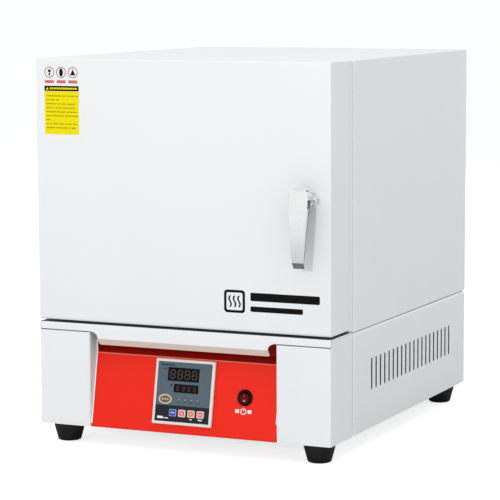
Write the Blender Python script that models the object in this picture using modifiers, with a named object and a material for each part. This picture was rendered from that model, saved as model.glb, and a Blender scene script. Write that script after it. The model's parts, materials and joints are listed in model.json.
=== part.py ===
"""Benchtop muffle furnace: a white sheet-steel cabinet with a side-hinged door, an insulated
chamber, a red sloping control panel and four rubber feet.

Metres. +Z is up, +X is to the right of a person who faces the door, and -Y points at that person.
The origin is on the floor, under the middle of the whole object.
"""

import math

import bmesh
import bpy
from mathutils import Matrix, Vector

# ---------------------------------------------------------------- driving dimensions
WIDTH = 0.4700
DEPTH = 0.5752  # door's face to the rear edge of the cover
HEIGHT = 0.5736
HANDLE_REACH = 0.0340  # handle in front of the door's face
REAR_REACH = 0.0468  # thermocouple head behind the cabinet
SHEET = 0.0012  # sheet steel
GAP = 0.0003  # between pieces that touch
BEND = 0.0030  # outside radius of the cabinet's bends

SIDE = WIDTH / 2
FRONT = HANDLE_REACH - (DEPTH + HANDLE_REACH + REAR_REACH) / 2  # plane of the door's face
BACK = FRONT + DEPTH

FOOT_HEIGHT = 0.0285
BASE_BOTTOM = 0.0288
BASE_TOP = 0.1807
COVER_BOTTOM = 0.1819
FLOOR_CLEARANCE = 0.0321  # what stands on the floor plate starts here
FASCIA_DEPTH = 0.0806  # rear edges of the front frame, the ledge and the base front
CABINET_FRONT = 0.0856  # cover and base shell start here, behind a narrow groove
FLANGE = 0.0120  # folded rims of the cabinet's sheets

DOOR_BOTTOM = 0.1862
DOOR_DEPTH = 0.0700
FRAME_FACE = 0.0715  # the front frame's face, behind the door

LEDGE_TOP = 0.1828
LIP_BOTTOM = 0.1721
VISOR_FOLD = 0.1621
VISOR_END = 0.1519
VISOR_RETURN = 0.0103
VISOR_HALF = 0.1374  # half the visor's width at its lower edge
VISOR_CURVE = 0.0100

PILLAR_WIDTH = 0.0845
PILLAR_TOP = 0.1704
CHEEK_DEPTH = 0.0620

PANEL_FOLD = 0.1386
PANEL_LEAN = math.radians(11.14)
PANEL_SHADE_TOP = 0.1760

CHAMBER = 0.2000  # width and height
CHAMBER_DEPTH = 0.3000
CHAMBER_FLOOR = 0.2776
CHAMBER_FRONT = 0.0880
CASING_HALF = 0.2150
CASING_BOTTOM = 0.1828
CASING_TOP = 0.5556
CASING_BACK = 0.5210
MOUTH = 0.2300  # opening in the front frame
MOUTH_Z = CHAMBER_FLOOR + CHAMBER / 2

ELEMENT_RUNS = 6
ELEMENT_POCKET = 0.0120
ELEMENT_BOTTOM = 0.3126
ELEMENT_TOP = 0.4426
ELEMENT_X = CHAMBER / 2 + 0.006
ELEMENT_WIRE = 0.0025  # radius
LEAD_END = 0.5480
PROBE_Z = 0.4236
PROBE_RADIUS = 0.0050
GLAND_X = -0.1100
GLAND_Z = 0.0750

VENT_COUNT = 20
VENT_PITCH = 0.01788
VENT_FIRST = 0.1585
VENT_TOP = 0.1336
VENT_BOTTOM = 0.0861
VENT_WIDTH = 0.0050

FOOT_INSET_X = 0.0309
FOOT_INSET_Y = 0.0329

HINGE_RADIUS = 0.0040
HINGE_PIN = 0.0018
HINGE_HEIGHT = 0.0600
HINGE_X = -SIDE - HINGE_RADIUS - GAP
HINGE_Y = FRONT + 0.07075
HINGE_LEVELS = {"upper": 0.5030, "lower": 0.2580}

HANDLE_X = 0.1978
HANDLE_Y = FRONT - 0.0110
HANDLE_Z = 0.3816
HANDLE_HALF = 0.0140
PIN = 0.0030
BORE = PIN + GAP
LATCH_Y = FRONT + 0.0520
LATCH_Z = 0.3816
STRIKE_TOP = 0.3786

DIN_FRAME = 0.0960  # square front of a panel-mounted controller
DIN_BODY = 0.0900
DIN_FACE = 0.0870
CONTROLLER_U = 0.06125  # its centre, measured up the slope of the panel
BEZEL_DEPTH = 0.0055
FACE_RECESS = 0.0007
BUTTON = (0.0116, 0.0106)
BUTTON_U = 0.03075
BUTTON_FIRST = -0.0150
BUTTON_PITCH = 0.01485
DISPLAYS = {"upper": (-0.0020, 0.0870, 0.0500, 0.0190), "lower": (0.0035, 0.0668, 0.0390, 0.0116)}
SWITCH_X = 0.0966
SWITCH_U = 0.0607
SWITCH_RADIUS = 0.0115
ROCKER_REST = math.radians(10)

# ---------------------------------------------------------------- scene and finishes
for item in list(bpy.data.objects):
    bpy.data.objects.remove(item, do_unlink=True)

PARTS = bpy.data.collections.new("muffle_furnace")
CUTTERS = bpy.data.collections.new("cutters")
bpy.context.scene.collection.children.link(PARTS)
bpy.context.scene.collection.children.link(CUTTERS)


def finish(name, color, roughness, metallic=0.0):
    """A plain Principled material."""
    material = bpy.data.materials.new(name)
    material.use_nodes = True
    shader = material.node_tree.nodes["Principled BSDF"]
    shader.inputs["Base Color"].default_value = (*color, 1.0)
    shader.inputs["Roughness"].default_value = roughness
    shader.inputs["Metallic"].default_value = metallic
    material.diffuse_color = (*color, 1.0)
    return material


WHITE = finish("white_powder_coat", (0.86, 0.87, 0.88), 0.35)
RED = finish("red_powder_coat", (0.84, 0.04, 0.02), 0.35)
STEEL = finish("zinc_plated_steel", (0.62, 0.63, 0.64), 0.40, 0.9)
POLISHED = finish("polished_steel", (0.80, 0.80, 0.80), 0.18, 1.0)
ALUMINIUM = finish("cast_aluminium", (0.72, 0.73, 0.74), 0.45, 0.9)
FIBRE = finish("ceramic_fibre", (0.90, 0.88, 0.82), 0.95)
CERAMIC = finish("ceramic", (0.82, 0.76, 0.66), 0.60)
ALLOY = finish("heating_alloy", (0.25, 0.21, 0.19), 0.55, 0.6)
RUBBER = finish("black_rubber", (0.02, 0.02, 0.02), 0.70)
BLACK = finish("black_plastic", (0.02, 0.02, 0.02), 0.40)
CREAM = finish("cream_plastic", (0.80, 0.78, 0.72), 0.40)
SLATE = finish("slate_face", (0.12, 0.17, 0.20), 0.45)
SMOKED = finish("smoked_window", (0.01, 0.01, 0.01), 0.10)
BLUE = finish("blue_button", (0.02, 0.08, 0.55), 0.40)
PINK = finish("pink_button", (0.85, 0.35, 0.33), 0.40)
ROCKER_RED = finish("rocker_red", (0.30, 0.01, 0.01), 0.25)


# ---------------------------------------------------------------- modelling helpers
def place(name, mesh, material=None):
    """A new object: a part when it has a material, and a cutter when it has none."""
    part = bpy.data.objects.new(name, mesh)
    if material is None:
        CUTTERS.objects.link(part)
        part.hide_render = True
        part.display_type = "WIRE"
    else:
        PARTS.objects.link(part)
        mesh.materials.append(material)
    return part


def mesh_from(form, name):
    """Ends a bmesh and returns it as a mesh."""
    mesh = bpy.data.meshes.new(name)
    form.to_mesh(mesh)
    form.free()
    return mesh


def block(name, low, high, material=None):
    """A box between two corners, with its origin at its centre."""
    low, high = Vector(low), Vector(high)
    form = bmesh.new()
    bmesh.ops.create_cube(form, size=1.0)
    bmesh.ops.scale(form, vec=high - low, verts=form.verts)
    part = place(name, mesh_from(form, name), material)
    part.location = (low + high) / 2
    return part


def rod(name, start, end, radius, material=None, sides=24):
    """A cylinder from one point to another."""
    start, end = Vector(start), Vector(end)
    form = bmesh.new()
    bmesh.ops.create_cone(
        form, cap_ends=True, segments=sides, radius1=radius, radius2=radius, depth=(end - start).length
    )
    part = place(name, mesh_from(form, name), material)
    part.location = (start + end) / 2
    part.rotation_mode = "QUATERNION"
    part.rotation_quaternion = (end - start).to_track_quat("Z", "Y")
    shade_round(part)
    return part


def shade_round(part, angle=math.radians(35)):
    """Smooth shading that keeps the hard edges."""
    part.data.shade_smooth()
    part.data.set_sharp_from_angle(angle=angle)


def turned(name, profile, origin, direction, material, steps=24):
    """A turned solid. The profile runs down its outer side as (radius, height along direction)."""
    form = bmesh.new()
    verts = [form.verts.new((radius, 0, height)) for radius, height in profile]
    for first, second in zip(verts, verts[1:]):
        form.edges.new((first, second))
    if profile[0][0] > 0:
        form.edges.new((verts[-1], verts[0]))
    part = place(name, mesh_from(form, name), material)
    part.location = origin
    part.rotation_mode = "QUATERNION"
    part.rotation_quaternion = Vector(direction).to_track_quat("Z", "Y")
    screw = part.modifiers.new("turn", "SCREW")
    screw.steps = steps
    screw.render_steps = steps
    screw.use_merge_vertices = True
    screw.merge_threshold = 0.00001
    screw.use_smooth_shade = True
    return part


def plate(name, outline, low, high, normal, material=None):
    """A flat outline made solid between two heights along an axis, "X", "Y" or "Z".

    The outline's points are (y, z), (x, z) or (x, y) for those three axes.
    """
    curve = bpy.data.curves.new(name, "CURVE")
    curve.dimensions = "2D"
    curve.fill_mode = "BOTH"
    curve.extrude = (high - low) / 2
    spline = curve.splines.new("POLY")
    spline.points.add(len(outline) - 1)
    for point, (a, b) in zip(spline.points, outline):
        point.co = (a, b, 0, 1)
    spline.use_cyclic_u = True
    guide = bpy.data.objects.new(name + "_outline", curve)
    bpy.context.scene.collection.objects.link(guide)
    evaluated = guide.evaluated_get(bpy.context.evaluated_depsgraph_get())
    mesh = bpy.data.meshes.new_from_object(evaluated)
    bpy.data.objects.remove(guide, do_unlink=True)
    mesh.materials.clear()

    turn = {
        "X": Matrix(((0, 0, 1), (1, 0, 0), (0, 1, 0))),
        "Y": Matrix(((1, 0, 0), (0, 0, -1), (0, 1, 0))),
        "Z": Matrix.Identity(3),
    }[normal]
    form = bmesh.new()
    form.from_mesh(mesh)
    bpy.data.meshes.remove(mesh)
    bmesh.ops.remove_doubles(form, verts=form.verts, dist=0.00001)
    bmesh.ops.recalc_face_normals(form, faces=form.faces)
    form.transform(turn.to_4x4())
    part = place(name, mesh_from(form, name), material)
    middle = (high + low) / 2
    part.location = {"X": (middle, 0, 0), "Y": (0, middle, 0), "Z": (0, 0, middle)}[normal]
    return part


def arc(centre, radius, start, end, steps):
    """Points along an arc, between two angles in degrees."""
    angles = [math.radians(start + (end - start) * i / steps) for i in range(steps + 1)]
    return [(centre[0] + radius * math.cos(a), centre[1] + radius * math.sin(a)) for a in angles]


def rounded(points, radius, steps=3):
    """An open run of straight lines with its inner corners turned into arcs."""
    points = [Vector(point) for point in points]
    run = [points[0]]
    for before, corner, after in zip(points, points[1:], points[2:]):
        back = (before - corner).normalized()
        ahead = (after - corner).normalized()
        half = back.angle(ahead) / 2
        start = corner + back * radius / math.tan(half)
        end = corner + ahead * radius / math.tan(half)
        centre = corner + (back + ahead).normalized() * radius / math.sin(half)
        first, last = (start - centre).normalized(), (end - centre).normalized()
        run += [centre + first.slerp(last, i / steps) * radius for i in range(steps + 1)]
    run.append(points[-1])
    return run


def folded(name, run, low, high, normal, material, thickness=SHEET, side=-1):
    """A folded sheet: an open run of points drawn out along "X" or "Z" and given a thickness.

    The run's points are (y, z) for "X" and (x, y) for "Z".
    """
    form = bmesh.new()
    make = {"X": lambda p: (low, p[0], p[1]), "Z": lambda p: (p[0], p[1], low)}[normal]
    verts = [form.verts.new(make(point)) for point in run]
    edges = [form.edges.new(pair) for pair in zip(verts, verts[1:])]
    grown = bmesh.ops.extrude_edge_only(form, edges=edges)
    moved = [item for item in grown["geom"] if isinstance(item, bmesh.types.BMVert)]
    shift = {"X": (high - low, 0, 0), "Z": (0, 0, high - low)}[normal]
    bmesh.ops.translate(form, verts=moved, vec=shift)
    part = place(name, mesh_from(form, name), material)
    thicken(part, thickness, side)
    return part


def thicken(part, thickness=SHEET, side=-1):
    """Gives an open surface its thickness, on one side of it."""
    solidify = part.modifiers.new("thickness", "SOLIDIFY")
    solidify.thickness = thickness
    solidify.offset = side
    solidify.use_even_offset = True


def bevel(part, width, segments=2):
    """Rounds a part's sharp edges."""
    edge = part.modifiers.new("edges", "BEVEL")
    edge.width = width
    edge.segments = segments
    edge.limit_method = "ANGLE"
    edge.angle_limit = math.radians(40)


def pan(name, low, high, open_side, material, radius=BEND, thickness=SHEET):
    """A box of sheet with rounded edges. open_side is the direction of the face it lacks."""
    part = block(name, low, high, material)
    form = bmesh.new()
    form.from_mesh(part.data)
    form.normal_update()
    missing = [face for face in form.faces if face.normal.dot(Vector(open_side)) > 0.9]
    bmesh.ops.delete(form, geom=missing, context="FACES_ONLY")
    form.to_mesh(part.data)
    form.free()
    bevel(part, radius, 3)
    thicken(part, thickness)
    return part


def boolean(part, tool, operation):
    """Adds a Boolean that keeps the exact solver."""
    step = part.modifiers.new(tool.name, "BOOLEAN")
    step.operation = operation
    step.object = tool


def cut(part, *tools):
    """Takes cutters away from a part."""
    for tool in tools:
        boolean(part, tool, "DIFFERENCE")


def join(part, *tools):
    """Adds shapes to a part."""
    for tool in tools:
        boolean(part, tool, "UNION")


def depth(distance):
    """The Y of a plane this far behind the door's face."""
    return FRONT + distance


# ---------------------------------------------------------------- cabinet
def make_outer_cover():
    """The wrap-round cover: top, two sides and narrow rims round the front."""
    cover = pan(
        "outer_cover",
        (-SIDE, depth(CABINET_FRONT), COVER_BOTTOM - 0.01),
        (SIDE, BACK + 0.01, HEIGHT),
        (0, 0, -1),
        WHITE,
    )
    inner = SIDE - FLANGE
    cut(
        cover,
        block("cover_front_cut", (-inner, depth(0.08), 0.1), (inner, depth(0.10), HEIGHT - FLANGE)),
        block("cover_back_cut", (-0.3, BACK, 0.1), (0.3, BACK + 0.05, 0.7)),
        block("cover_bottom_cut", (-0.3, depth(0.05), 0.1), (0.3, BACK + 0.05, COVER_BOTTOM)),
    )


def make_back_panel():
    """The plate that closes the back of the cover, with the thermocouple's hole."""
    edge = SIDE - SHEET - 0.0010
    low, high = (-edge, BACK - 0.0016, COVER_BOTTOM + 0.0009), (edge, BACK - 0.0004, HEIGHT - 0.0022)
    panel = block("back_panel", low, high, WHITE)
    cut(panel, PROBE_CUTTER)


def make_base_shell():
    """The lower box: walls with vents, open inside its folded rims at the top, front and bottom."""
    front = depth(CABINET_FRONT)
    shell = block("base_shell", (-SIDE, front, BASE_BOTTOM), (SIDE, BACK, BASE_TOP), WHITE)
    bevel(shell, BEND, 3)
    inside = block(
        "base_inside_cut",
        (SHEET - SIDE, front + SHEET, BASE_BOTTOM + SHEET),
        (SIDE - SHEET, BACK - SHEET, BASE_TOP - SHEET),
    )
    bevel(inside, BEND - SHEET, 3)
    rim = SIDE - FLANGE
    ahead, behind = front - 0.02, BACK + 0.01
    window = 0.145
    cut(
        shell,
        inside,
        block("base_top_cut", (-rim, front + FLANGE, 0.15), (rim, BACK - FLANGE, 0.25)),
        block("base_front_cut", (-rim, ahead, 0.02), (rim, front + FLANGE, BASE_TOP - FLANGE)),
        block("base_floor_cut", (SHEET - SIDE, ahead, 0.02), (SIDE - SHEET, front + 0.025, FLOOR_CLEARANCE)),
        block("base_bottom_cut", (-rim, front + FLANGE, -0.01), (rim, BACK - FLANGE, 0.05)),
        block("base_rear_cut", (-window, BACK - 0.01, 0.050), (window, behind, 0.160)),
        vent_cutter(),
    )


def vent_cutter():
    """One upright slot drawn through both walls, repeated by an array."""
    half = VENT_WIDTH / 2
    y = depth(VENT_FIRST)
    top = arc((y, VENT_TOP - half), half, 0, 180, 4)
    bottom = arc((y, VENT_BOTTOM + half), half, 180, 360, 4)
    tool = plate("vent_cut", top + bottom, -SIDE - 0.01, SIDE + 0.01, "X")
    array = tool.modifiers.new("row", "ARRAY")
    array.count = VENT_COUNT
    array.use_relative_offset = False
    array.use_constant_offset = True
    array.constant_offset_displace = (0, VENT_PITCH, 0)
    return tool


def make_floor_plate():
    """The plate under everything in the base."""
    edge = SIDE - BEND - 0.0005
    block("floor_plate", (-edge, depth(0.003), 0.0303), (edge, BACK - BEND - 0.0005, 0.0318), WHITE)


def make_base_back_panel():
    """The screwed plate over the opening in the base's rear wall, with the gland's hole."""
    panel = block("base_back_panel", (-0.155, BACK + GAP, 0.042), (0.155, BACK + 0.0018, 0.168), WHITE)
    bevel(panel, 0.0004, 1)
    cut(panel, rod("gland_cut", (GLAND_X, BACK - 0.02, GLAND_Z), (GLAND_X, BACK + 0.02, GLAND_Z), 0.0083))


def make_mid_deck():
    """The plate between the base and the insulated upper half."""
    edge = SIDE - BEND
    block("mid_deck", (-edge, depth(0.0890), 0.1810), (edge, BACK - 0.002, 0.1825), STEEL)


def make_front_plate():
    """The front frame behind the door: a shallow pan with the chamber's mouth and the latch's slot."""
    low, high = (-SIDE, depth(FRAME_FACE), LEDGE_TOP + GAP), (SIDE, depth(FASCIA_DEPTH), HEIGHT)
    frame = pan("front_plate", low, high, (0, 1, 0), WHITE, 0.002)
    half = MOUTH / 2
    cut(
        frame,
        block("mouth_cut", (-half, depth(0.06), MOUTH_Z - half), (half, depth(0.08), MOUTH_Z + half)),
        block(
            "latch_slot_cut",
            (HANDLE_X - 0.005, depth(0.06), STRIKE_TOP - 0.008),
            (HANDLE_X + 0.005, depth(0.08), LATCH_Z + 0.016),
        ),
    )


def make_strike_plate():
    """The plate behind the front frame's slot that the latch hooks over."""
    block(
        "strike_plate",
        (HANDLE_X - 0.012, depth(0.0730), STRIKE_TOP - 0.020),
        (HANDLE_X + 0.012, depth(0.0748), STRIKE_TOP),
        STEEL,
    )


def make_ledge_visor():
    """The ledge on top of the base front: a lip along its edge and a deeper visor in the middle."""
    run = rounded(
        [
            (depth(FASCIA_DEPTH), LEDGE_TOP),
            (depth(0), LEDGE_TOP),
            (depth(0), VISOR_FOLD),
            (depth(VISOR_RETURN), VISOR_END),
        ],
        0.002,
    )
    ledge = folded("ledge_visor", run, -SIDE, SIDE, "X", WHITE, side=1)
    side = VISOR_HALF + 0.0036
    for name, hand in (("left", -1), ("right", 1)):
        curve = arc((side + VISOR_CURVE, LIP_BOTTOM - VISOR_CURVE), VISOR_CURVE, 90, 180, 6)
        outline = [(SIDE + 0.01, LIP_BOTTOM), *curve, (VISOR_HALF, VISOR_END - 0.001), (VISOR_HALF, 0.13)]
        outline.append((SIDE + 0.01, 0.13))
        outline = [(hand * x, z) for x, z in outline]
        cut(ledge, plate(f"visor_{name}_cut", outline, depth(-0.01), depth(0.05), "Y"))


def make_pillar(name, hand):
    """One end of the base front: its outer side, its face and the cheek beside the panel."""
    run = rounded(
        [
            (hand * SIDE, depth(FASCIA_DEPTH)),
            (hand * SIDE, depth(0)),
            (hand * (SIDE - PILLAR_WIDTH), depth(0)),
            (hand * (SIDE - PILLAR_WIDTH), depth(CHEEK_DEPTH)),
        ],
        0.002,
    )
    pillar = folded(name, run, BASE_BOTTOM, LEDGE_TOP - SHEET - GAP, "Z", WHITE, side=-hand)
    face = sorted((hand * (SIDE + 0.005), hand * (SIDE - PILLAR_WIDTH - 0.005)))
    cheek = sorted((hand * (SIDE - PILLAR_WIDTH + 0.020), hand * (SIDE - PILLAR_WIDTH - 0.005)))
    cut(
        pillar,
        block(name + "_top_cut", (face[0], depth(-0.01), PILLAR_TOP), (face[1], depth(0.0026), 0.2)),
        block(name + "_foot_cut", (cheek[0], depth(0.0028), 0), (cheek[1], depth(0.1), FLOOR_CLEARANCE)),
    )


def make_control_panel():
    """The red panel: its bottom rim, its leaning face, and the fold that runs back under the visor."""
    lean = (PANEL_FOLD - BASE_BOTTOM) * math.tan(PANEL_LEAN)
    rise = PANEL_SHADE_TOP - PANEL_FOLD
    run = rounded(
        [
            (depth(0.024), BASE_BOTTOM),
            (depth(0), BASE_BOTTOM),
            (depth(lean), PANEL_FOLD),
            (depth(lean + rise), PANEL_SHADE_TOP),
        ],
        0.0018,
    )
    edge = SIDE - PILLAR_WIDTH - 0.0005
    panel = folded("control_panel", run, -edge, edge, "X", RED, side=-1)
    half = DIN_BODY / 2 + 0.0004
    cut(
        panel,
        on_panel(
            block("controller_cut", (-half, -0.02, CONTROLLER_U - half), (half, 0.02, CONTROLLER_U + half))
        ),
        on_panel(
            rod("switch_cut", (SWITCH_X, -0.02, SWITCH_U), (SWITCH_X, 0.02, SWITCH_U), 0.0101, sides=24)
        ),
    )


# ---------------------------------------------------------------- chamber
def make_inner_casing():
    """The steel box round the insulation, open at the front, with holes for the leads and the probe."""
    casing = pan(
        "inner_casing",
        (-CASING_HALF, depth(CHAMBER_FRONT), CASING_BOTTOM),
        (CASING_HALF, depth(CASING_BACK), CASING_TOP),
        (0, -1, 0),
        STEEL,
        0.0015,
    )
    cut(casing, PROBE_CUTTER, *LEAD_CUTTERS)


def make_insulation():
    """Five ceramic-fibre boards that line the casing and leave the chamber between them."""
    half = CHAMBER / 2
    wall = CASING_HALF - SHEET - GAP
    front = depth(CHAMBER_FRONT)
    rear = depth(CASING_BACK) - SHEET - GAP
    floor, roof = CHAMBER_FLOOR, CHAMBER_FLOOR + CHAMBER
    bottom, top = CASING_BOTTOM + SHEET + GAP, CASING_TOP - SHEET - GAP
    block("insulation_floor", (-wall, front, bottom), (wall, rear, floor - GAP), FIBRE)
    block("insulation_roof", (-wall, front, roof + GAP), (wall, rear, top), FIBRE)
    back = block(
        "insulation_back",
        (-half + GAP, front + CHAMBER_DEPTH, floor),
        (half - GAP, rear, roof),
        FIBRE,
    )
    cut(back, PROBE_CUTTER)
    for name, hand in (("left", -1), ("right", 1)):
        sides = sorted((hand * half, hand * wall))
        board = block(f"insulation_{name}", (sides[0], front, floor), (sides[1], rear, roof), FIBRE)
        pocket = sorted((hand * (half - 0.01), hand * (half + ELEMENT_POCKET)))
        cut(
            board,
            block(
                f"pocket_{name}_cut",
                (pocket[0], front + 0.014, ELEMENT_BOTTOM - 0.012),
                (pocket[1], front + 0.292, ELEMENT_TOP + 0.012),
            ),
            *LEAD_CUTTERS,
        )


def make_heating_element(name, hand):
    """One hairpin coil: level runs joined by half turns, with both leads drawn out at the back."""
    pitch = (ELEMENT_TOP - ELEMENT_BOTTOM) / (ELEMENT_RUNS - 1)
    radius = pitch / 2
    front, rear = depth(CHAMBER_FRONT + 0.036), depth(CHAMBER_FRONT + 0.270)
    path = [(depth(LEAD_END), ELEMENT_BOTTOM)]
    for i in range(ELEMENT_RUNS - 1):
        middle = ELEMENT_BOTTOM + (i + 0.5) * pitch
        if i % 2 == 0:
            path += arc((front, middle), radius, 270, 90, 6)
        else:
            path += arc((rear, middle), radius, -90, 90, 6)
    path.append((depth(LEAD_END), ELEMENT_TOP))
    curve = bpy.data.curves.new(name, "CURVE")
    curve.dimensions = "3D"
    curve.bevel_depth = ELEMENT_WIRE
    curve.bevel_resolution = 1
    curve.use_fill_caps = True
    spline = curve.splines.new("POLY")
    spline.points.add(len(path) - 1)
    for point, (y, z) in zip(spline.points, path):
        point.co = (hand * ELEMENT_X, y, z, 1)
    element = bpy.data.objects.new(name, curve)
    PARTS.objects.link(element)
    curve.materials.append(ALLOY)


def make_element_terminal(name, hand):
    """The ceramic strip behind the casing that carries a coil's two leads."""
    x = hand * ELEMENT_X
    strip = block(
        name,
        (x - 0.012, depth(CASING_BACK) + GAP, ELEMENT_BOTTOM - 0.012),
        (x + 0.012, depth(CASING_BACK) + 0.018, ELEMENT_TOP + 0.012),
        CERAMIC,
    )
    bevel(strip, 0.0015, 1)
    cut(strip, *LEAD_CUTTERS)


def make_hearth_plate():
    """The plate that the samples stand on."""
    hearth = block(
        "hearth_plate",
        (-0.094, depth(0.104), CHAMBER_FLOOR + GAP),
        (0.094, depth(0.384), CHAMBER_FLOOR + 0.010),
        CERAMIC,
    )
    bevel(hearth, 0.0015, 1)


def make_throat_frame():
    """The ceramic collar that lines the chamber's mouth through the front frame."""
    outer, inner = MOUTH / 2 - GAP, CHAMBER / 2
    collar = block(
        "throat_frame",
        (-outer, depth(FRAME_FACE) + GAP, MOUTH_Z - outer),
        (outer, depth(CHAMBER_FRONT) - GAP, MOUTH_Z + outer),
        FIBRE,
    )
    low, high = (-inner, depth(0.05), MOUTH_Z - inner), (inner, depth(0.1), MOUTH_Z + inner)
    cut(collar, block("throat_cut", low, high))


def make_thermocouple():
    """The ceramic sheath that reaches into the chamber, and the head and cap behind the cabinet."""
    back = (0, 1, 0)
    start, end = (0, depth(0.340), PROBE_Z), (0, BACK + 0.012, PROBE_Z)
    rod("thermocouple_sheath", start, end, PROBE_RADIUS, CERAMIC, 20)
    profile = [
        (0.0225, 0.0345), (0.0235, 0.0335), (0.0235, 0.0200), (0.0225, 0.0185), (0.0150, 0.0120),
        (0.0140, 0.0060), (0.0220, 0.0050), (0.0220, GAP), (0.0053, GAP), (0.0053, 0.0150),
        (0.0190, 0.0150), (0.0190, 0.0345),
    ]
    turned("thermocouple_head", profile, (0, BACK, PROBE_Z), back, ALUMINIUM, 24)
    cap = [
        (0.0, REAR_REACH), (0.0150, REAR_REACH), (0.0205, REAR_REACH - 0.0020), (0.0245, REAR_REACH - 0.0060),
        (0.0245, 0.0348), (0.0, 0.0348),
    ]
    turned("thermocouple_cap", cap, (0, BACK, PROBE_Z), back, ALUMINIUM, 24)


# ---------------------------------------------------------------- base interior and feet
def make_cable_gland():
    """The gland that the supply cable enters by: thread, hexagon and domed nut, with a clear bore."""
    profile = [
        (0.0050, 0.0300), (0.0085, 0.0300), (0.0115, 0.0265), (0.0125, 0.0200), (0.0125, 0.0100),
        (0.0118, 0.0095), (0.0118, 0.0085), (0.0135, 0.0080), (0.0135, 0.0021), (0.0080, 0.0021),
        (0.0080, -0.0080), (0.0050, -0.0080),
    ]
    turned("cable_gland", profile, (GLAND_X, BACK, GLAND_Z), (0, 1, 0), BLACK, 24)


def make_heat_sink():
    """A finned sink with its fins down, and the solid-state relay on it."""
    left, base_low, base_high = 0.020, 0.0600, 0.0650
    fin, pitch, count = 0.0025, 0.0105, 8
    right = left + (count - 1) * pitch + fin
    outline = [(right, base_high), (left, base_high)]
    for i in range(count):
        x = left + i * pitch
        outline += [(x, base_low), (x, FLOOR_CLEARANCE), (x + fin, FLOOR_CLEARANCE), (x + fin, base_low)]
    plate("heat_sink", outline, depth(0.330), depth(0.430), "Y", ALUMINIUM)
    low, high = (0.035, depth(0.350), base_high + GAP), (0.080, depth(0.408), 0.0880)
    relay = block("solid_state_relay", low, high, BLACK)
    bevel(relay, 0.0015, 1)


def make_feet():
    """Four tapered rubber feet with a hollow underside for the screw's head."""
    profile = [
        (0.0045, FOOT_HEIGHT), (0.0235, FOOT_HEIGHT), (0.0243, FOOT_HEIGHT - 0.0010), (0.0178, 0.0025),
        (0.0155, 0.0), (0.0095, 0.0), (0.0090, 0.0110), (0.0045, 0.0110),
    ]
    for end, y in (("front", depth(FOOT_INSET_Y)), ("rear", BACK - FOOT_INSET_Y)):
        for hand, x in (("left", FOOT_INSET_X - SIDE), ("right", SIDE - FOOT_INSET_X)):
            turned(f"{end}_{hand}_foot", profile, (x, y, 0), (0, 0, 1), RUBBER, 24)


# ---------------------------------------------------------------- controls on the sloping panel
def on_panel(part):
    """Puts a part in the panel's own frame: x across, y into the cabinet, z up the slope."""
    part.parent = PANEL_FRAME
    return part


def make_controller():
    """The panel-mounted temperature controller: case, face, two windows and four buttons."""
    half, body, face = DIN_FRAME / 2, DIN_BODY / 2, DIN_FACE / 2
    u = CONTROLLER_U
    case = on_panel(
        block("controller_case", (-half, -BEZEL_DEPTH, u - half), (half, -GAP, u + half), CREAM)
    )
    bevel(case, 0.0018, 2)
    pocket = body - 0.003
    room, seat = face + GAP, 0.0035 - BEZEL_DEPTH
    join(case, on_panel(block("case_body", (-body, -0.002, u - body), (body, 0.060, u + body))))
    cut(
        case,
        on_panel(block("case_face_cut", (-room, -0.02, u - room), (room, seat, u + room))),
        on_panel(block("case_inside_cut", (-pocket, -0.02, u - pocket), (pocket, 0.058, u + pocket))),
    )
    front = -BEZEL_DEPTH + FACE_RECESS
    low, high = (-face, front, u - face), (face, front + 0.0025, u + face)
    panel = on_panel(block("controller_face", low, high, SLATE))
    for name, (x, height, wide, tall) in DISPLAYS.items():
        on_panel(
            block(
                f"display_{name}",
                (x - wide / 2, front + 0.0002, height - tall / 2),
                (x + wide / 2, front + 0.0080, height + tall / 2),
                SMOKED,
            )
        )
        cut(panel, clearance_cutter(f"display_{name}_cut", x, height, wide, tall))
    names = (("set_button", BLUE), ("shift_button", PINK), ("down_button", PINK), ("up_button", PINK))
    for i, (name, material) in enumerate(names):
        x = BUTTON_FIRST + i * BUTTON_PITCH
        wide, tall = BUTTON
        button = on_panel(
            block(
                name,
                (x - wide / 2, front - 0.0008, BUTTON_U - tall / 2),
                (x + wide / 2, front + 0.0045, BUTTON_U + tall / 2),
                material,
            )
        )
        bevel(button, 0.0006, 1)
        cut(panel, clearance_cutter(f"{name}_cut", x, BUTTON_U, wide, tall))


def clearance_cutter(name, x, u, wide, tall, room=0.0004):
    """A hole through the controller's face, a little larger than the piece in it."""
    return on_panel(
        block(
            name,
            (x - wide / 2 - room, -0.02, u - tall / 2 - room),
            (x + wide / 2 + room, 0.0, u + tall / 2 + room),
        )
    )


def make_power_switch():
    """The round power switch: housing with a flange and a pocket, and the rocker in it."""
    profile = [
        (0.0, 0.0022), (0.0105, 0.0022), (SWITCH_RADIUS, 0.0012), (SWITCH_RADIUS, GAP), (0.0098, GAP),
        (0.0098, -0.0180), (0.0, -0.0180),
    ]
    housing = on_panel(turned("switch_housing", profile, (SWITCH_X, 0, SWITCH_U), (0, -1, 0), BLACK, 32))
    front, back = (SWITCH_X, -0.01, SWITCH_U), (SWITCH_X, 0.0125, SWITCH_U)
    cut(housing, on_panel(rod("switch_pocket", front, back, 0.0083, sides=32)))

    pivot = bpy.data.objects.new("rocker_pivot", None)
    PARTS.objects.link(pivot)
    on_panel(pivot)
    pivot.location = (SWITCH_X, 0.0015, SWITCH_U)
    pivot.rotation_euler = (ROCKER_REST, 0, 0)
    outline = [
        (-0.0058, 0.0068), (-0.0044, 0.0), (-0.0058, -0.0068), (-0.0050, -0.0074), (-0.0010, -0.0074),
        (0.0055, -0.0030), (0.0055, 0.0030), (-0.0010, 0.0074), (-0.0050, 0.0074),
    ]
    rocker = plate("switch_rocker", outline, -0.0073, 0.0073, "X", ROCKER_RED)
    rocker.parent = pivot
    round_off = rod("rocker_round", (0, -0.02, 0), (0, 0.02, 0), 0.0073, sides=32)
    round_off.parent = pivot
    boolean(rocker, round_off, "INTERSECT")


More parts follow.
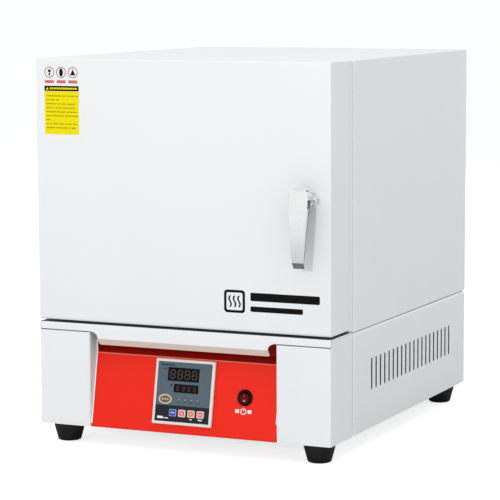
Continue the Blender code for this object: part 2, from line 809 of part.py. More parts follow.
# ---------------------------------------------------------------- door, hinges, handle and latch
def make_door():
    """The door: outer pan, inner plate, blanket between them, plug and rope seal."""
    low, high = (-SIDE, depth(0), DOOR_BOTTOM), (SIDE, depth(DOOR_DEPTH), HEIGHT)
    door = pan("door_skin", low, high, (0, 1, 0), WHITE)
    inset = BEND - 0.0005
    inner = block(
        "door_inner_plate",
        (-SIDE + inset, depth(0.0628), DOOR_BOTTOM + inset),
        (SIDE - inset, depth(0.0640), HEIGHT - inset),
        WHITE,
    )
    blanket = block(
        "door_blanket",
        (-SIDE + 0.004, depth(0.0042), DOOR_BOTTOM + 0.004),
        (SIDE - 0.004, depth(0.0600), HEIGHT - 0.004),
        FIBRE,
    )
    half = CHAMBER / 2 - 0.005
    plug = block(
        "door_plug", (-half, depth(0.0643), MOUTH_Z - half), (half, depth(0.1000), MOUTH_Z + half), FIBRE
    )
    bevel(plug, 0.003, 2)
    outer, rope = half + 0.013, half + 0.003
    seal = block(
        "door_seal", (-outer, depth(0.0643), MOUTH_Z - outer), (outer, depth(0.0712), MOUTH_Z + outer), FIBRE
    )
    bevel(seal, 0.0025, 2)
    cut(seal, block("seal_cut", (-rope, depth(0.05), MOUTH_Z - rope), (rope, depth(0.1), MOUTH_Z + rope)))
    cut(door, CRANK_CUTTER)
    cut(
        inner,
        block(
            "inner_slot_cut",
            (HANDLE_X - 0.004, depth(0.05), LATCH_Z - 0.011),
            (HANDLE_X + 0.004, depth(0.07), LATCH_Z + 0.013),
        ),
    )
    cut(
        blanket,
        block(
            "latch_room_cut",
            (HANDLE_X - 0.013, depth(0), LATCH_Z - 0.033),
            (HANDLE_X + 0.013, depth(0.07), LATCH_Z + 0.020),
        ),
    )


def make_hinge(level):
    """A butt hinge: the cabinet's leaf with two knuckles, the door's with one, and the pin."""
    z = HINGE_LEVELS[level]
    half = HINGE_HEIGHT / 2
    knuckle = HINGE_HEIGHT / 3
    leaf, inner = HINGE_RADIUS, HINGE_RADIUS - 0.0015
    meet = math.degrees(math.acos(inner / HINGE_RADIUS))
    low_end, high_end = (HINGE_X, HINGE_Y, z - 0.05), (HINGE_X, HINGE_Y, z + 0.05)
    bore = rod(f"hinge_{level}_bore", low_end, high_end, HINGE_PIN + GAP, sides=12)
    for owner, way in (("cabinet", 1), ("door", -1)):
        outline = [(leaf, 0.022), (inner, 0.022), *arc((0, 0), HINGE_RADIUS, meet, 360, 14)]
        outline = [(HINGE_X + x, HINGE_Y + way * y) for x, y in outline]
        part = plate(f"hinge_leaf_{owner}_{level}", outline, z - half, z + half, "Z", POLISHED)
        reach = HINGE_RADIUS + 0.001
        low_y, high_y = HINGE_Y - reach, HINGE_Y + reach
        if owner == "cabinet":
            spans = [(z - knuckle / 2 - GAP, z + knuckle / 2 + GAP)]
        else:
            spans = [(z - half - 0.001, z - knuckle / 2), (z + knuckle / 2, z + half + 0.001)]
        for i, (low, high) in enumerate(spans):
            name = f"{part.name}_cut_{i}"
            cut(part, block(name, (HINGE_X - reach, low_y, low), (HINGE_X + reach, high_y, high)))
        cut(part, bore)
    pin = [
        (0.0, half + 0.0022), (0.0030, half + 0.0018), (0.0034, half + GAP), (HINGE_PIN, half + GAP),
        (HINGE_PIN, -half), (0.0, -half),
    ]
    turned(f"hinge_pin_{level}", pin, (HINGE_X, HINGE_Y, z), (0, 0, 1), POLISHED, 12)


def make_handle_bracket():
    """The bracket on the door: a round base with two ears that carry the pin."""
    half, wall = 0.0117, 0.0025
    y, z = HANDLE_Y, HANDLE_Z
    front, back = (HANDLE_X, depth(-0.0023), z - 0.001), (HANDLE_X, depth(-GAP), z - 0.001)
    base = rod("handle_bracket", front, back, 0.0145, POLISHED, 32)
    bevel(base, 0.0004, 1)
    ear = [(depth(-0.0010), z + 0.008), *arc((y, z), 0.0058, 60, 300, 8), (depth(-0.0010), z - 0.010)]
    for name, hand in (("left", -1), ("right", 1)):
        sides = sorted((HANDLE_X + hand * half, HANDLE_X + hand * (half - wall)))
        join(base, plate(f"ear_{name}", ear, *sides, "X"))
    bore = rod("bracket_bore", (HANDLE_X - 0.03, y, z), (HANDLE_X + 0.03, y, z), BORE, sides=20)
    cut(base, bore, CRANK_CUTTER)


def make_handle_pin():
    """The pivot pin with a domed head at each end."""
    end = HANDLE_HALF + 0.0058
    head = HANDLE_HALF + GAP
    wide, rim = 0.0046, 0.0040
    profile = [
        (0.0, end), (rim, end), (wide, end - 0.0006), (wide, end - 0.0030), (rim, end - 0.0036),
        (PIN, end - 0.0036), (PIN, -head), (wide, -head), (wide, -head - 0.0020), (rim, -head - 0.0026),
        (0.0, -head - 0.0026),
    ]
    turned("handle_pin", profile, (HANDLE_X, HANDLE_Y, HANDLE_Z), (1, 0, 0), POLISHED, 20)


def make_handle_lever():
    """The lever: a tapered channel with rounded ears, a bent tip, and the crank that works the latch."""
    pivot = bpy.data.objects.new("handle_pivot", None)
    PARTS.objects.link(pivot)
    pivot.location = (HANDLE_X, HANDLE_Y, HANDLE_Z)
    side_view = [
        (-0.0190, 0.0130), (-0.0180, 0.0146), (-0.0160, 0.0152), (-0.0090, 0.0138), (-0.0010, 0.0095),
        *arc((0, 0), 0.0068, 60, -70, 6),
        (-0.0040, -0.0100), (-0.0110, -0.0160), (-0.0120, -0.0240), (-0.0172, -0.0880), (-0.0168, -0.0940),
        (-0.0190, -0.0958), (-0.0205, -0.0945), (-0.0230, -0.0885), (-0.0228, -0.0860), (-0.0192, -0.0100),
    ]
    lever = plate("handle_lever", side_view, -HANDLE_HALF, HANDLE_HALF, "X", POLISHED)
    lever.parent = pivot
    tip = 0.0084
    corner = 0.0060
    right = [
        *arc((HANDLE_HALF - corner, 0.0152 - corner), corner, 90, 0, 4),
        (HANDLE_HALF, -0.0120),
        (tip, -0.0900),
        (tip, -0.1000),
    ]
    front_view = right + [(-x, z) for x, z in reversed(right)]
    taper = plate("lever_taper", front_view, -0.05, 0.05, "Y")
    taper.parent = pivot
    boolean(lever, taper, "INTERSECT")

    wall = 0.0020
    inner = HANDLE_HALF - wall
    hollow_front = [(inner, 0.0128), (inner, -0.0120), (tip - wall, -0.0860)]
    hollow_front = hollow_front + [(-x, z) for x, z in reversed(hollow_front)]
    hollow = plate("lever_hollow", hollow_front, -0.0170, 0.05, "Y")
    slant = (0.0228 - 0.0192) / (0.0860 - 0.0100)
    form = bmesh.new()
    form.from_mesh(hollow.data)
    for vert in form.verts:
        vert.co.y += slant * min(vert.co.z, 0)
    form.to_mesh(hollow.data)
    form.free()
    hollow.parent = pivot
    web = block("lever_web", (-0.0030, -0.0182, -0.0060), (0.0030, 0.0, 0.0060))
    hub = rod("lever_hub", (-0.0030, 0, 0), (0.0030, 0, 0), 0.0060, sides=20)
    crank = block("lever_crank", (-0.0030, 0.0, -0.0030), (0.0030, 0.0150, 0.0030))
    bore = rod("lever_bore", (-0.03, 0, 0), (0.03, 0, 0), BORE, sides=20)
    for tool in (web, hub, crank, bore):
        tool.parent = pivot
    cut(lever, hollow)
    join(lever, web, hub, crank)
    cut(lever, bore)


def make_latch():
    """The hook inside the door, and the bracket and pin that it turns on."""
    y, z = LATCH_Y, LATCH_Z
    pivot = bpy.data.objects.new("latch_pivot", None)
    PARTS.objects.link(pivot)
    pivot.location = (HANDLE_X, y, z)
    outline = [
        (-0.0488, -0.0041), (-0.0080, 0.0040), *arc((0, 0), 0.0070, 130, 60, 4), (0.0280, 0.0055),
        (0.0290, 0.0040), (0.0290, -0.0024), (0.0238, -0.0024), (0.0238, 0.0005), (0.0090, -0.0010),
        *arc((0, 0), 0.0070, -40, -120, 4), (-0.0488, -0.0100),
    ]
    hook = plate("latch_hook", outline, -0.0025, 0.0025, "X", STEEL)
    hook.parent = pivot
    bore = rod("hook_bore", (-0.01, 0, 0), (0.01, 0, 0), BORE, sides=20)
    bore.parent = pivot
    cut(hook, bore)

    base = block(
        "latch_bracket",
        (HANDLE_X - 0.0110, depth(0.0603), z - 0.0140),
        (HANDLE_X + 0.0110, depth(0.0625), z + 0.0160),
        STEEL,
    )
    for name, hand in (("left", -1), ("right", 1)):
        sides = sorted((HANDLE_X + hand * 0.0088, HANDLE_X + hand * 0.0058))
        low, high = (sides[0], y - 0.008, z - 0.008), (sides[1], depth(0.0610), z + 0.008)
        join(base, block(f"latch_ear_{name}", low, high))
    join(base, rod("latch_axle", (HANDLE_X - 0.0070, y, z), (HANDLE_X + 0.0070, y, z), PIN, sides=20))
    cut(
        base,
        block(
            "latch_bracket_slot",
            (HANDLE_X - 0.0040, depth(0.0590), z - 0.0110),
            (HANDLE_X + 0.0040, depth(0.0640), z + 0.0130),
        ),
    )


# ---------------------------------------------------------------- shared cutters and frames
PANEL_FRAME = bpy.data.objects.new("panel_frame", None)
PARTS.objects.link(PANEL_FRAME)
PANEL_FRAME.location = (0, depth(0), BASE_BOTTOM)
PANEL_FRAME.rotation_euler = (-PANEL_LEAN, 0, 0)

PROBE_CUTTER = rod("probe_cut", (0, depth(0.36), PROBE_Z), (0, BACK + 0.05, PROBE_Z), 0.0065, sides=20)
LEAD_CUTTERS = [
    rod(
        f"lead_cut_{name}_{level}",
        (hand * ELEMENT_X, depth(CHAMBER_FRONT + 0.280), z),
        (hand * ELEMENT_X, BACK - 0.02, z),
        0.0045,
        sides=12,
    )
    for name, hand in (("left", -1), ("right", 1))
    for level, z in (("low", ELEMENT_BOTTOM), ("high", ELEMENT_TOP))
]
CRANK_CUTTER = block(
    "crank_cut",
    (HANDLE_X - 0.004, depth(-0.01), HANDLE_Z - 0.018),
    (HANDLE_X + 0.004, depth(0.01), HANDLE_Z + 0.006),
)

make_outer_cover()
make_back_panel()
make_base_shell()
make_floor_plate()
make_base_back_panel()
make_mid_deck()
make_front_plate()
make_strike_plate()
make_ledge_visor()
make_pillar("left_pillar", -1)
make_pillar("right_pillar", 1)
make_control_panel()
make_inner_casing()
make_insulation()
make_heating_element("heating_element_left", -1)
make_heating_element("heating_element_right", 1)
make_element_terminal("element_terminal_left", -1)
make_element_terminal("element_terminal_right", 1)
make_hearth_plate()
make_throat_frame()
make_thermocouple()
make_cable_gland()
make_heat_sink()
make_feet()
make_controller()
make_power_switch()
make_door()
make_hinge("upper")
make_hinge("lower")
make_handle_bracket()
make_handle_pin()
make_handle_lever()
make_latch()
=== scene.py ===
"""The looks of a benchtop muffle furnace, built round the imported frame.

Metres, in the frame's own axes: +Z up, +X to the right of a person who faces the door, -Y towards them.
Sheet pieces, controls, handle, hinges, seal, coils, feet, thermocouple head and cable gland are built here
and stand for their plain CAD solids; the other CAD solids stay and get their finished materials.
"""

import json
import math
import random

import bmesh
import bpy
from mathutils import Matrix, Vector


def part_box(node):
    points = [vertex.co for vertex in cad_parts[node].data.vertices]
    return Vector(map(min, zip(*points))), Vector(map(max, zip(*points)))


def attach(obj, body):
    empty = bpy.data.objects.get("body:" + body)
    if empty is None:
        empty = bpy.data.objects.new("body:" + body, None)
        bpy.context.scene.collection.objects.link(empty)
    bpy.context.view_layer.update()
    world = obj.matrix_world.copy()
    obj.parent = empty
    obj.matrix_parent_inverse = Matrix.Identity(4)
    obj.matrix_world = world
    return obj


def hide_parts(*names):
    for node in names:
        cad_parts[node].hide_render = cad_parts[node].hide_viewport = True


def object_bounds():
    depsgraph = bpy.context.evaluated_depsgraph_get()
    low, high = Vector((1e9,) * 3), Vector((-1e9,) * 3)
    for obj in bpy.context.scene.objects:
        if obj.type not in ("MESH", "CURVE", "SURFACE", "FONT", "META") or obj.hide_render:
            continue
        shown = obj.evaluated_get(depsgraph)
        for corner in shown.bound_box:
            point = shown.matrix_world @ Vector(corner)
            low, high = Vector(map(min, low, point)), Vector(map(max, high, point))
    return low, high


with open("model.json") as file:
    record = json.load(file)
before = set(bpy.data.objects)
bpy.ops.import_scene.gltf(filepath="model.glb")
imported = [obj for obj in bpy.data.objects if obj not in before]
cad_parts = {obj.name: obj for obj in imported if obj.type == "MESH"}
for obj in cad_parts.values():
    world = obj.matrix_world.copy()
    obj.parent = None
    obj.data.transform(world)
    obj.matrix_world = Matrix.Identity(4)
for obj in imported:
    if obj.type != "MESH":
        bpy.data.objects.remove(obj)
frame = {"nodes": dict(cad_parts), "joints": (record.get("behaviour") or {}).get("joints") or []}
CAD_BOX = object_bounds()

# ---------------------------------------------------------------- places taken from the frame
DOOR_LOW, DOOR_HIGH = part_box("door_skin")
COVER_LOW, COVER_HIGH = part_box("outer_cover")
BASE_LOW, BASE_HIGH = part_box("base_shell")
LEDGE_LOW, LEDGE_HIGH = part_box("ledge_visor")
PILLAR_LOW, PILLAR_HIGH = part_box("right_pillar")
PANEL_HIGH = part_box("control_panel")[1]
FRONT = DOOR_LOW.y
BACK = BASE_HIGH.y
SIDE = DOOR_HIGH.x
TOP = COVER_HIGH.z
FLOOR_OF_BASE = BASE_LOW.z
JOINT_AT = {joint["name"]: Vector(joint.get("pos_m", (0, 0, 0))) for joint in frame["joints"]}
HANDLE_AT = JOINT_AT["handle_lift"]
SWITCH_AT = JOINT_AT["power_rocker"]

# ---------------------------------------------------------------- sizes that the frame doesn't list
SHEET = 0.0012
BEND = 0.0020
WIDE_BEND = 0.0045
FLANGE = 0.0120
FINE = 8  # segments in a rounded edge
PRINT = 0.00012  # thickness of printed and stuck-on marks
SAME = 0.00001  # levels closer than this are one level
PAST = 0.01  # how far most tools reach past the surface that they cut
BLOCK_HALF, BLOCK_LOW, BLOCK_TOP = 0.3, 0.1, 0.7  # a block that holds the cover and the door
LOWER_CUT = 0.0321  # the base's front is open below this height
SLOT_TOP, SLOT_BOTTOM = 0.1336, 0.0861  # ends of the vent slots

PANEL_LEAN = math.radians(11.14)
PANEL_FOLD = 0.1384
PANEL_FRAME = Matrix.Translation((0, FRONT, FLOOR_OF_BASE)) @ Matrix.Rotation(-PANEL_LEAN, 4, "X")
PANEL_HALF = PANEL_HIGH.x

# the controls, in the panel's own frame: X across, Z up the slope and Y into it
CONTROLLER_U = 0.06125
CONTROLLER_HALF = 0.0480
FACE_HALF = 0.0435
BEZEL_DEPTH = 0.0055
FACE_Y = -0.0048  # the controller's face
BAND_TOP = 0.0414  # top of the face's dark band
SWITCH_U = 0.0607
KEY_U = 0.03075
KEY_X = {name: -0.0150 + i * 0.01485 for i, name in enumerate(("set", "shift", "down", "up"))}
KEY_WIDE, KEY_TALL = 0.0116, 0.0106
ARROWS = {"shift": 90, "down": 180, "up": 0}  # how far each key's arrow is turned


def new_object(name, data):
    """A new object in the scene."""
    made = bpy.data.objects.new(name, data)
    bpy.context.scene.collection.objects.link(made)
    return made


def wire(tree, node, inputs):
    """Sets a node's inputs: another node's output is linked, anything else is a value."""
    for socket, value in inputs.items():
        if isinstance(value, bpy.types.NodeSocket):
            tree.links.new(value, node.inputs[socket])
        else:
            node.inputs[socket].default_value = value
    return node


def add_node(tree, kind, inputs=None, **settings):
    """A new shader node with its settings and its inputs."""
    node = tree.nodes.new("ShaderNode" + kind)
    for key, value in settings.items():
        setattr(node, key, value)
    return wire(tree, node, inputs or {})


# ---------------------------------------------------------------- camera, light and floor
def make_camera():
    """A long lens from the front right, a little above the furnace."""
    data = bpy.data.cameras.new("camera")
    data.lens = 163.53
    data.sensor_width = 36.0
    data.clip_end = 500
    camera = new_object("camera", data)
    yaw, pitch, roll = (math.radians(angle) for angle in (24.431, 6.8796, -0.2145))
    turn = Matrix.Rotation(yaw, 4, "Z") @ Matrix.Rotation(math.pi / 2 - pitch, 4, "X")
    turn = turn @ Matrix.Rotation(roll, 4, "Z")
    camera.matrix_world = Matrix.Translation((1.4388, -3.2180, 0.6927)) @ turn
    bpy.context.scene.camera = camera


def make_area_light(name, place, target, size, power):
    """A square soft box that faces a point."""
    data = bpy.data.lights.new(name, "AREA")
    data.shape = "SQUARE"
    data.size = size
    data.energy = power
    light = new_object(name, data)
    light.location = place
    light.rotation_mode = "QUATERNION"
    light.rotation_quaternion = (Vector(target) - Vector(place)).to_track_quat("-Z", "Y")


def make_world():
    """A white room, nearly even, slightly brighter behind the furnace. The camera sees it as plain white."""
    world = bpy.data.worlds.new("studio")
    bpy.context.scene.world = world
    world.use_nodes = True
    tree = world.node_tree
    before, behind = 0.86, 0.89
    split = add_node(tree, "SeparateXYZ", {0: add_node(tree, "TexCoord").outputs["Generated"]})
    ramp = add_node(
        tree,
        "MapRange",
        {"From Min": -0.8, "From Max": 0.8, "To Min": before, "To Max": behind, "Value": split.outputs["Y"]},
        interpolation_type="SMOOTHSTEP",
    )
    seen = add_node(tree, "LightPath").outputs["Is Camera Ray"]
    most = add_node(tree, "Math", {0: ramp.outputs["Result"], 1: seen}, operation="MAXIMUM")
    wire(tree, tree.nodes["Background"], {"Color": (0.985, 0.995, 1.0, 1), "Strength": most.outputs[0]})


def make_floor():
    """A plain pale floor. It looks white to the camera and throws back two thirds of the light."""
    form = bmesh.new()
    bmesh.ops.create_grid(form, x_segments=1, y_segments=1, size=4.5)
    mesh = bpy.data.meshes.new("floor")
    form.to_mesh(mesh)
    form.free()
    paint = bpy.data.materials.new("floor_paint")
    paint.use_nodes = True
    tree = paint.node_tree
    reflected, glow = 0.66, 0.72
    seen = add_node(tree, "LightPath").outputs["Is Camera Ray"]
    share = add_node(tree, "Math", {0: seen, 1: glow}, operation="MULTIPLY")
    look = {
        "Base Color": (reflected, reflected, reflected, 1),
        "Roughness": 0.9,
        "Specular IOR Level": 0.0,
        "Emission Color": (1, 1, 1, 1),
        "Emission Strength": share.outputs[0],
    }
    wire(tree, tree.nodes["Principled BSDF"], look)
    mesh.materials.append(paint)
    new_object("floor", mesh)


make_camera()
make_world()
make_floor()
make_area_light("key", (0.0, -5.6, 1.5), (0, 0, 0.35), 0.35, 60)
make_area_light("overhead", (0, -0.9, 2.8), (0, 0, 0.5), 1.4, 6.5)
bpy.context.scene.view_settings.view_transform = "Standard"


# ---------------------------------------------------------------- materials
def noise(tree, place, scale, detail=None, stretch=(1, 1, 1), rough=0.5):
    """A noise texture, stretched along an axis if asked. Without a detail it is a pattern of cells."""
    if detail is None:
        return add_node(tree, "TexVoronoi", {"Vector": place, "Scale": scale}).outputs["Distance"]
    mapping = add_node(tree, "Mapping", {"Vector": place, "Scale": stretch})
    inputs = {"Vector": mapping.outputs["Vector"], "Scale": scale, "Detail": detail, "Roughness": rough}
    return add_node(tree, "TexNoise", inputs).outputs["Fac"]


def surface(name, color, roughness, spread, clouds, polish=None, grain=None, metallic=0.0, gloss=0.5):
    """A Principled material whose colour, roughness and surface vary with noise.

    Clouds are the noise of the colour. Polish is a noise and how far the roughness goes down and up.
    Grain is a noise, its height in metres and its strength.
    """
    made = bpy.data.materials.new(name)
    made.use_nodes = True
    tree = made.node_tree
    place = add_node(tree, "TexCoord").outputs["Object"]
    dark, pale = ((*[min(1.0, c * (1 + way * spread)) for c in color], 1) for way in (-1, 1))
    blend = add_node(tree, "Mix", {0: noise(tree, place, *clouds), 6: dark, 7: pale}, data_type="RGBA")
    look = {
        "Base Color": blend.outputs[2],
        "Roughness": roughness,
        "Metallic": metallic,
        "Specular IOR Level": gloss,
    }
    if polish:
        texture, down, up = polish
        ends = {"From Min": 0.3, "From Max": 0.7, "To Min": roughness - down, "To Max": roughness + up}
        ends["Value"] = noise(tree, place, *texture)
        look["Roughness"] = add_node(tree, "MapRange", ends).outputs["Result"]
    if grain:
        texture, height, strength = grain
        rise = {"Strength": strength, "Distance": height, "Height": noise(tree, place, *texture)}
        look["Normal"] = add_node(tree, "Bump", rise).outputs["Normal"]
    wire(tree, tree.nodes["Principled BSDF"], look)
    return made


def powder_coat(name, color, roughness, spread=0.012, gloss=0.5):
    """Baked powder paint: a fine orange peel, slight clouds in the colour and an even gloss."""
    polish, grain = ((60, 3), 0.04, 0.05), ((700, 1), 0.00003, 0.35)
    return surface(name, color, roughness, spread, (9, 3), polish, grain, gloss=gloss)


def brushed_metal(name, color, roughness, along, spread=0.10):
    """Metal with fine lines along an axis."""
    lines = (1800, 4, tuple(0.03 if axis == along else 1.0 for axis in "XYZ"), 0.65)
    return surface(name, color, roughness, spread, (25, 3), (lines, 0.07, 0.08), (lines, 0.00001, 0.3), 1.0)


def cast_metal(name, color, roughness):
    """Cast metal with a fine sand texture."""
    polish, grain = ((130, 3), 0.08, 0.12), ((1500, 3), 0.00008, 0.5)
    return surface(name, color, roughness, 0.12, (40, 4), polish, grain, 1.0)


def moulded(name, color, roughness, grain=0.00002, spread=0.06, gloss=0.3):
    """Moulded plastic or rubber with a light grain."""
    polish = ((240, 2), 0.05, 0.07)
    return surface(name, color, roughness, spread, (70, 3), polish, ((2200, 1), grain, 0.4), gloss=gloss)


def fibre_board(name, color):
    """Vacuum-formed ceramic fibre: matte, with matted fibres and small pits."""
    clouds, fibres = (55, 6, (1, 1, 1), 0.6), (420, 6, (1, 0.25, 1), 0.7)
    made = surface(name, color, 0.95, 0.09, clouds, None, (fibres, 0.0006, 0.7), gloss=0.15)
    made.node_tree.nodes["Principled BSDF"].inputs["Sheen Weight"].default_value = 0.2
    return made


def fired_ceramic(name, color):
    """Fired refractory: speckled and slightly rough."""
    return surface(name, color, 0.7, 0.16, (420,), ((90, 3), 0.1, 0.12), ((900, 4), 0.00012, 0.5))


def printed(name, color, roughness=0.45, spread=0.03, gloss=0.1):
    """Ink or sticker film, a little uneven."""
    return surface(name, color, roughness, spread, (160, 3), ((90, 2), 0.05, 0.06), gloss=gloss)


WHITE = powder_coat("white_paint", (0.86, 0.885, 0.90), 0.38, gloss=0.35)
# Dark grey that stands in for shade: inside the base, in the gap under the door and behind the pillars'
# seams.
SHADE_GREY = powder_coat("grey_painted_shade", (0.13, 0.15, 0.16), 0.55, 0.04, 0.2)
RED = powder_coat("red_paint", (0.90, 0.022, 0.008), 0.40, 0.02, 0.15)
# Painted highlight: a lighter, glossier white for the wide bends and the panel's side hems.
HIGHLIGHT_WHITE = powder_coat("white_paint_with_painted_highlight_on_bends", (0.97, 0.975, 0.98), 0.30, gloss=0.5)
# Painted shade with a warm painted reflection, for the underside of the visor's return.
RETURN_SHADE_WHITE = powder_coat("white_paint_with_painted_shade_on_return", (0.77, 0.67, 0.58), 0.40, gloss=0.3)
# A cool tint painted against reflected light: it cancels the red light that the panel throws onto the white
# cheeks.
CHEEK_COUNTER_TINT = powder_coat("white_paint_tinted_against_red_light", (0.70, 0.97, 0.97), 0.45, gloss=0.3)
# Painted shade: a darker red for the panel's parts in the visor's shade.
RED_PAINTED_SHADE = powder_coat("red_paint_with_painted_shade_under_visor", (0.60, 0.018, 0.009), 0.45, 0.02, 0.1)
# Painted highlight: a pinker, glossier red for the panel's fold.
RED_FOLD_HIGHLIGHT = powder_coat("red_paint_with_painted_highlight_on_fold", (0.92, 0.27, 0.21), 0.30, 0.02, 0.4)
ZINC = brushed_metal("zinc_plate", (0.62, 0.63, 0.64), 0.34, "Z", 0.14)
CHROME = brushed_metal("bright_steel", (0.89, 0.89, 0.89), 0.22, "Z", 0.03)
# Painted shade: a near-black steel for the dark line along the rims of the lever's sides.
RIM_SHADE_STEEL = brushed_metal("steel_with_painted_rim_shade", (0.085, 0.085, 0.088), 0.34, "X", 0.06)
# Painted shade and painted dark reflection on the handle's rims, channel inside, bent tip and ear edges.
SHADE_STEEL = brushed_metal("steel_with_painted_shade", (0.26, 0.26, 0.265), 0.32, "X", 0.06)
STEEL = brushed_metal("pin_steel", (0.86, 0.86, 0.86), 0.14, "X", 0.05)
ALUMINIUM = cast_metal("cast_aluminium_skin", (0.70, 0.71, 0.72), 0.42)
FIBRE = fibre_board("fibre_board", (0.88, 0.86, 0.80))
ROPE = fibre_board("rope_fibre", (0.86, 0.85, 0.82))
CERAMIC = fired_ceramic("fired_ceramic", (0.72, 0.66, 0.56))
ALLOY = brushed_metal("coil_alloy", (0.30, 0.26, 0.24), 0.48, "Y", 0.2)
RUBBER = moulded("foot_rubber", (0.010, 0.010, 0.011), 0.50, 0.00004, gloss=0.2)
BLACK = moulded("black_moulding", (0.006, 0.006, 0.006), 0.26, gloss=0.3)
CREAM = moulded("cream_moulding", (0.80, 0.78, 0.74), 0.38, spread=0.02)
SLATE = moulded("slate_film", (0.090, 0.130, 0.158), 0.42, 0.00001, 0.03, 0.2)
NIGHT = moulded("night_film", (0.020, 0.021, 0.030), 0.40, 0.00001, gloss=0.1)
WINDOW = moulded("smoked_window", (0.003, 0.003, 0.003), 0.20, 0.000002, gloss=0.08)
SEGMENT = printed("unlit_segment", (0.060, 0.047, 0.043), 0.40)
BLUE = moulded("blue_key_cap", (0.006, 0.026, 0.34), 0.34)
BLUE_RIM = moulded("blue_key_rim", (0.26, 0.33, 0.68), 0.36)
BLUE_LIGHT = printed("blue_key_mark", (0.34, 0.40, 0.88), 0.40)
PINK = moulded("pink_key_cap", (0.80, 0.26, 0.20), 0.36)
PINK_RIM = moulded("pink_key_rim", (0.90, 0.66, 0.60), 0.36)
KEY_RED = printed("key_red_ink", (0.50, 0.05, 0.035))
PALE_INK = printed("pale_ink", (0.88, 0.86, 0.86))
ROCKER = moulded("rocker_red_clear", (0.118, 0.004, 0.002), 0.18, 0.000004, gloss=0.08)
COLLAR = moulded("switch_moulding", (0.007, 0.002, 0.002), 0.30, gloss=0.10)
CREAM_INK = printed("cream_ink", (0.60, 0.52, 0.40), 0.40)
BRONZE_INK = printed("bronze_ink", (0.17, 0.12, 0.065), 0.35)
STICKER = printed("sticker_film", (0.86, 0.87, 0.88), 0.40, 0.01)
YELLOW_INK = printed("yellow_ink", (0.88, 0.76, 0.005), 0.45, 0.02, 0.05)
BLACK_INK = printed("black_ink", (0.004, 0.004, 0.004), 0.45, gloss=0.08)
RED_INK = printed("red_ink", (0.66, 0.16, 0.16), 0.42)
RING_INK = printed("ring_ink", (0.36, 0.05, 0.07), 0.42)
OLIVE_INK = printed("olive_ink", (0.30, 0.25, 0.010), 0.45, gloss=0.05)
NAVY_INK = printed("navy_ink", (0.012, 0.030, 0.10), 0.45)
LAMP = moulded("lamp_lens", (0.36, 0.46, 0.46), 0.22)


# ---------------------------------------------------------------- mesh helpers
def piece_of(form, name, material, frame_matrix=None):
    """A new object from a bmesh, placed by a matrix that goes into its vertices."""
    bmesh.ops.recalc_face_normals(form, faces=form.faces)
    mesh = bpy.data.meshes.new(name)
    form.to_mesh(mesh)
    form.free()
    if frame_matrix is not None:
        mesh.transform(frame_matrix)
    if material is not None:
        mesh.materials.append(material)
    return new_object(name, mesh)


def box(name, low, high, material=None, frame_matrix=None):
    """A box between two corners."""
    low, high = Vector(low), Vector(high)
    form = bmesh.new()
    bmesh.ops.create_cube(form, size=1.0)
    bmesh.ops.scale(form, vec=high - low, verts=form.verts)
    bmesh.ops.translate(form, vec=(low + high) / 2, verts=form.verts)
    return piece_of(form, name, material, frame_matrix)


def add_prism(form, outline, low, high, normal):
    """Draws a flat outline out along an axis. Its points are (y, z), (x, z) or (x, y) for X, Y and Z."""
    make = {
        "X": lambda a, b, h: (h, a, b),
        "Y": lambda a, b, h: (a, h, b),
        "Z": lambda a, b, h: (a, b, h),
    }[normal]
    bottom = [form.verts.new(make(a, b, low)) for a, b in outline]
    top = [form.verts.new(make(a, b, high)) for a, b in outline]
    form.faces.new(bottom)
    form.faces.new(top)
    count = len(outline)
    for i in range(count):
        form.faces.new((bottom[i], bottom[(i + 1) % count], top[(i + 1) % count], top[i]))


def prism(name, outlines, low, high, normal, material=None, frame_matrix=None):
    """One piece from one or more flat outlines."""
    form = bmesh.new()
    for outline in outlines:
        add_prism(form, outline, low, high, normal)
    return piece_of(form, name, material, frame_matrix)


def lathe(name, profile, origin, direction, material=None, steps=48, frame_matrix=None):
    """A turned piece from (radius, height along direction) points; a radius of 0 closes an end."""
    form = bmesh.new()
    rings = []
    for radius, height in profile:
        if radius == 0:
            rings.append([form.verts.new((0, 0, height))])
            continue
        angles = [math.tau * i / steps for i in range(steps)]
        rings.append([form.verts.new((radius * math.cos(a), radius * math.sin(a), height)) for a in angles])
    pairs = list(zip(rings, rings[1:]))
    if len(rings[0]) > 1:
        pairs.append((rings[-1], rings[0]))
    for first, second in pairs:
        for i in range(steps):
            j = (i + 1) % steps
            corners = [ring[k % len(ring)] for ring, k in ((first, i), (first, j), (second, j), (second, i))]
            form.faces.new(list(dict.fromkeys(corners)))
    turn = Vector(direction).to_track_quat("Z", "Y").to_matrix().to_4x4()
    form.transform(Matrix.Translation(origin) @ turn)
    return piece_of(form, name, material, frame_matrix)


def cutter(low, high, frame_matrix=None):
    """A box to cut with."""
    return box("tool", low, high, None, frame_matrix)


def block_behind(y):
    """A block higher and wider than the cabinet, behind a depth, to cut with."""
    return cutter((-BLOCK_HALF, y, BLOCK_LOW), (BLOCK_HALF, y + 0.05, BLOCK_TOP))


def drill(radius, reach, place=(0, 0, 0), direction=(1, 0, 0), steps=48, frame_matrix=None):
    """A cylinder to cut with, which reaches equally far to both sides of a place."""
    profile = [(0, reach), (radius, reach), (radius, -reach), (0, -reach)]
    return lathe("tool", profile, place, direction, None, steps, frame_matrix)


def arc(centre, radius, start, end, steps):
    """Points along an arc, between two angles in degrees."""
    angles = [math.radians(start + (end - start) * i / steps) for i in range(steps + 1)]
    return [(centre[0] + radius * math.cos(a), centre[1] + radius * math.sin(a)) for a in angles]


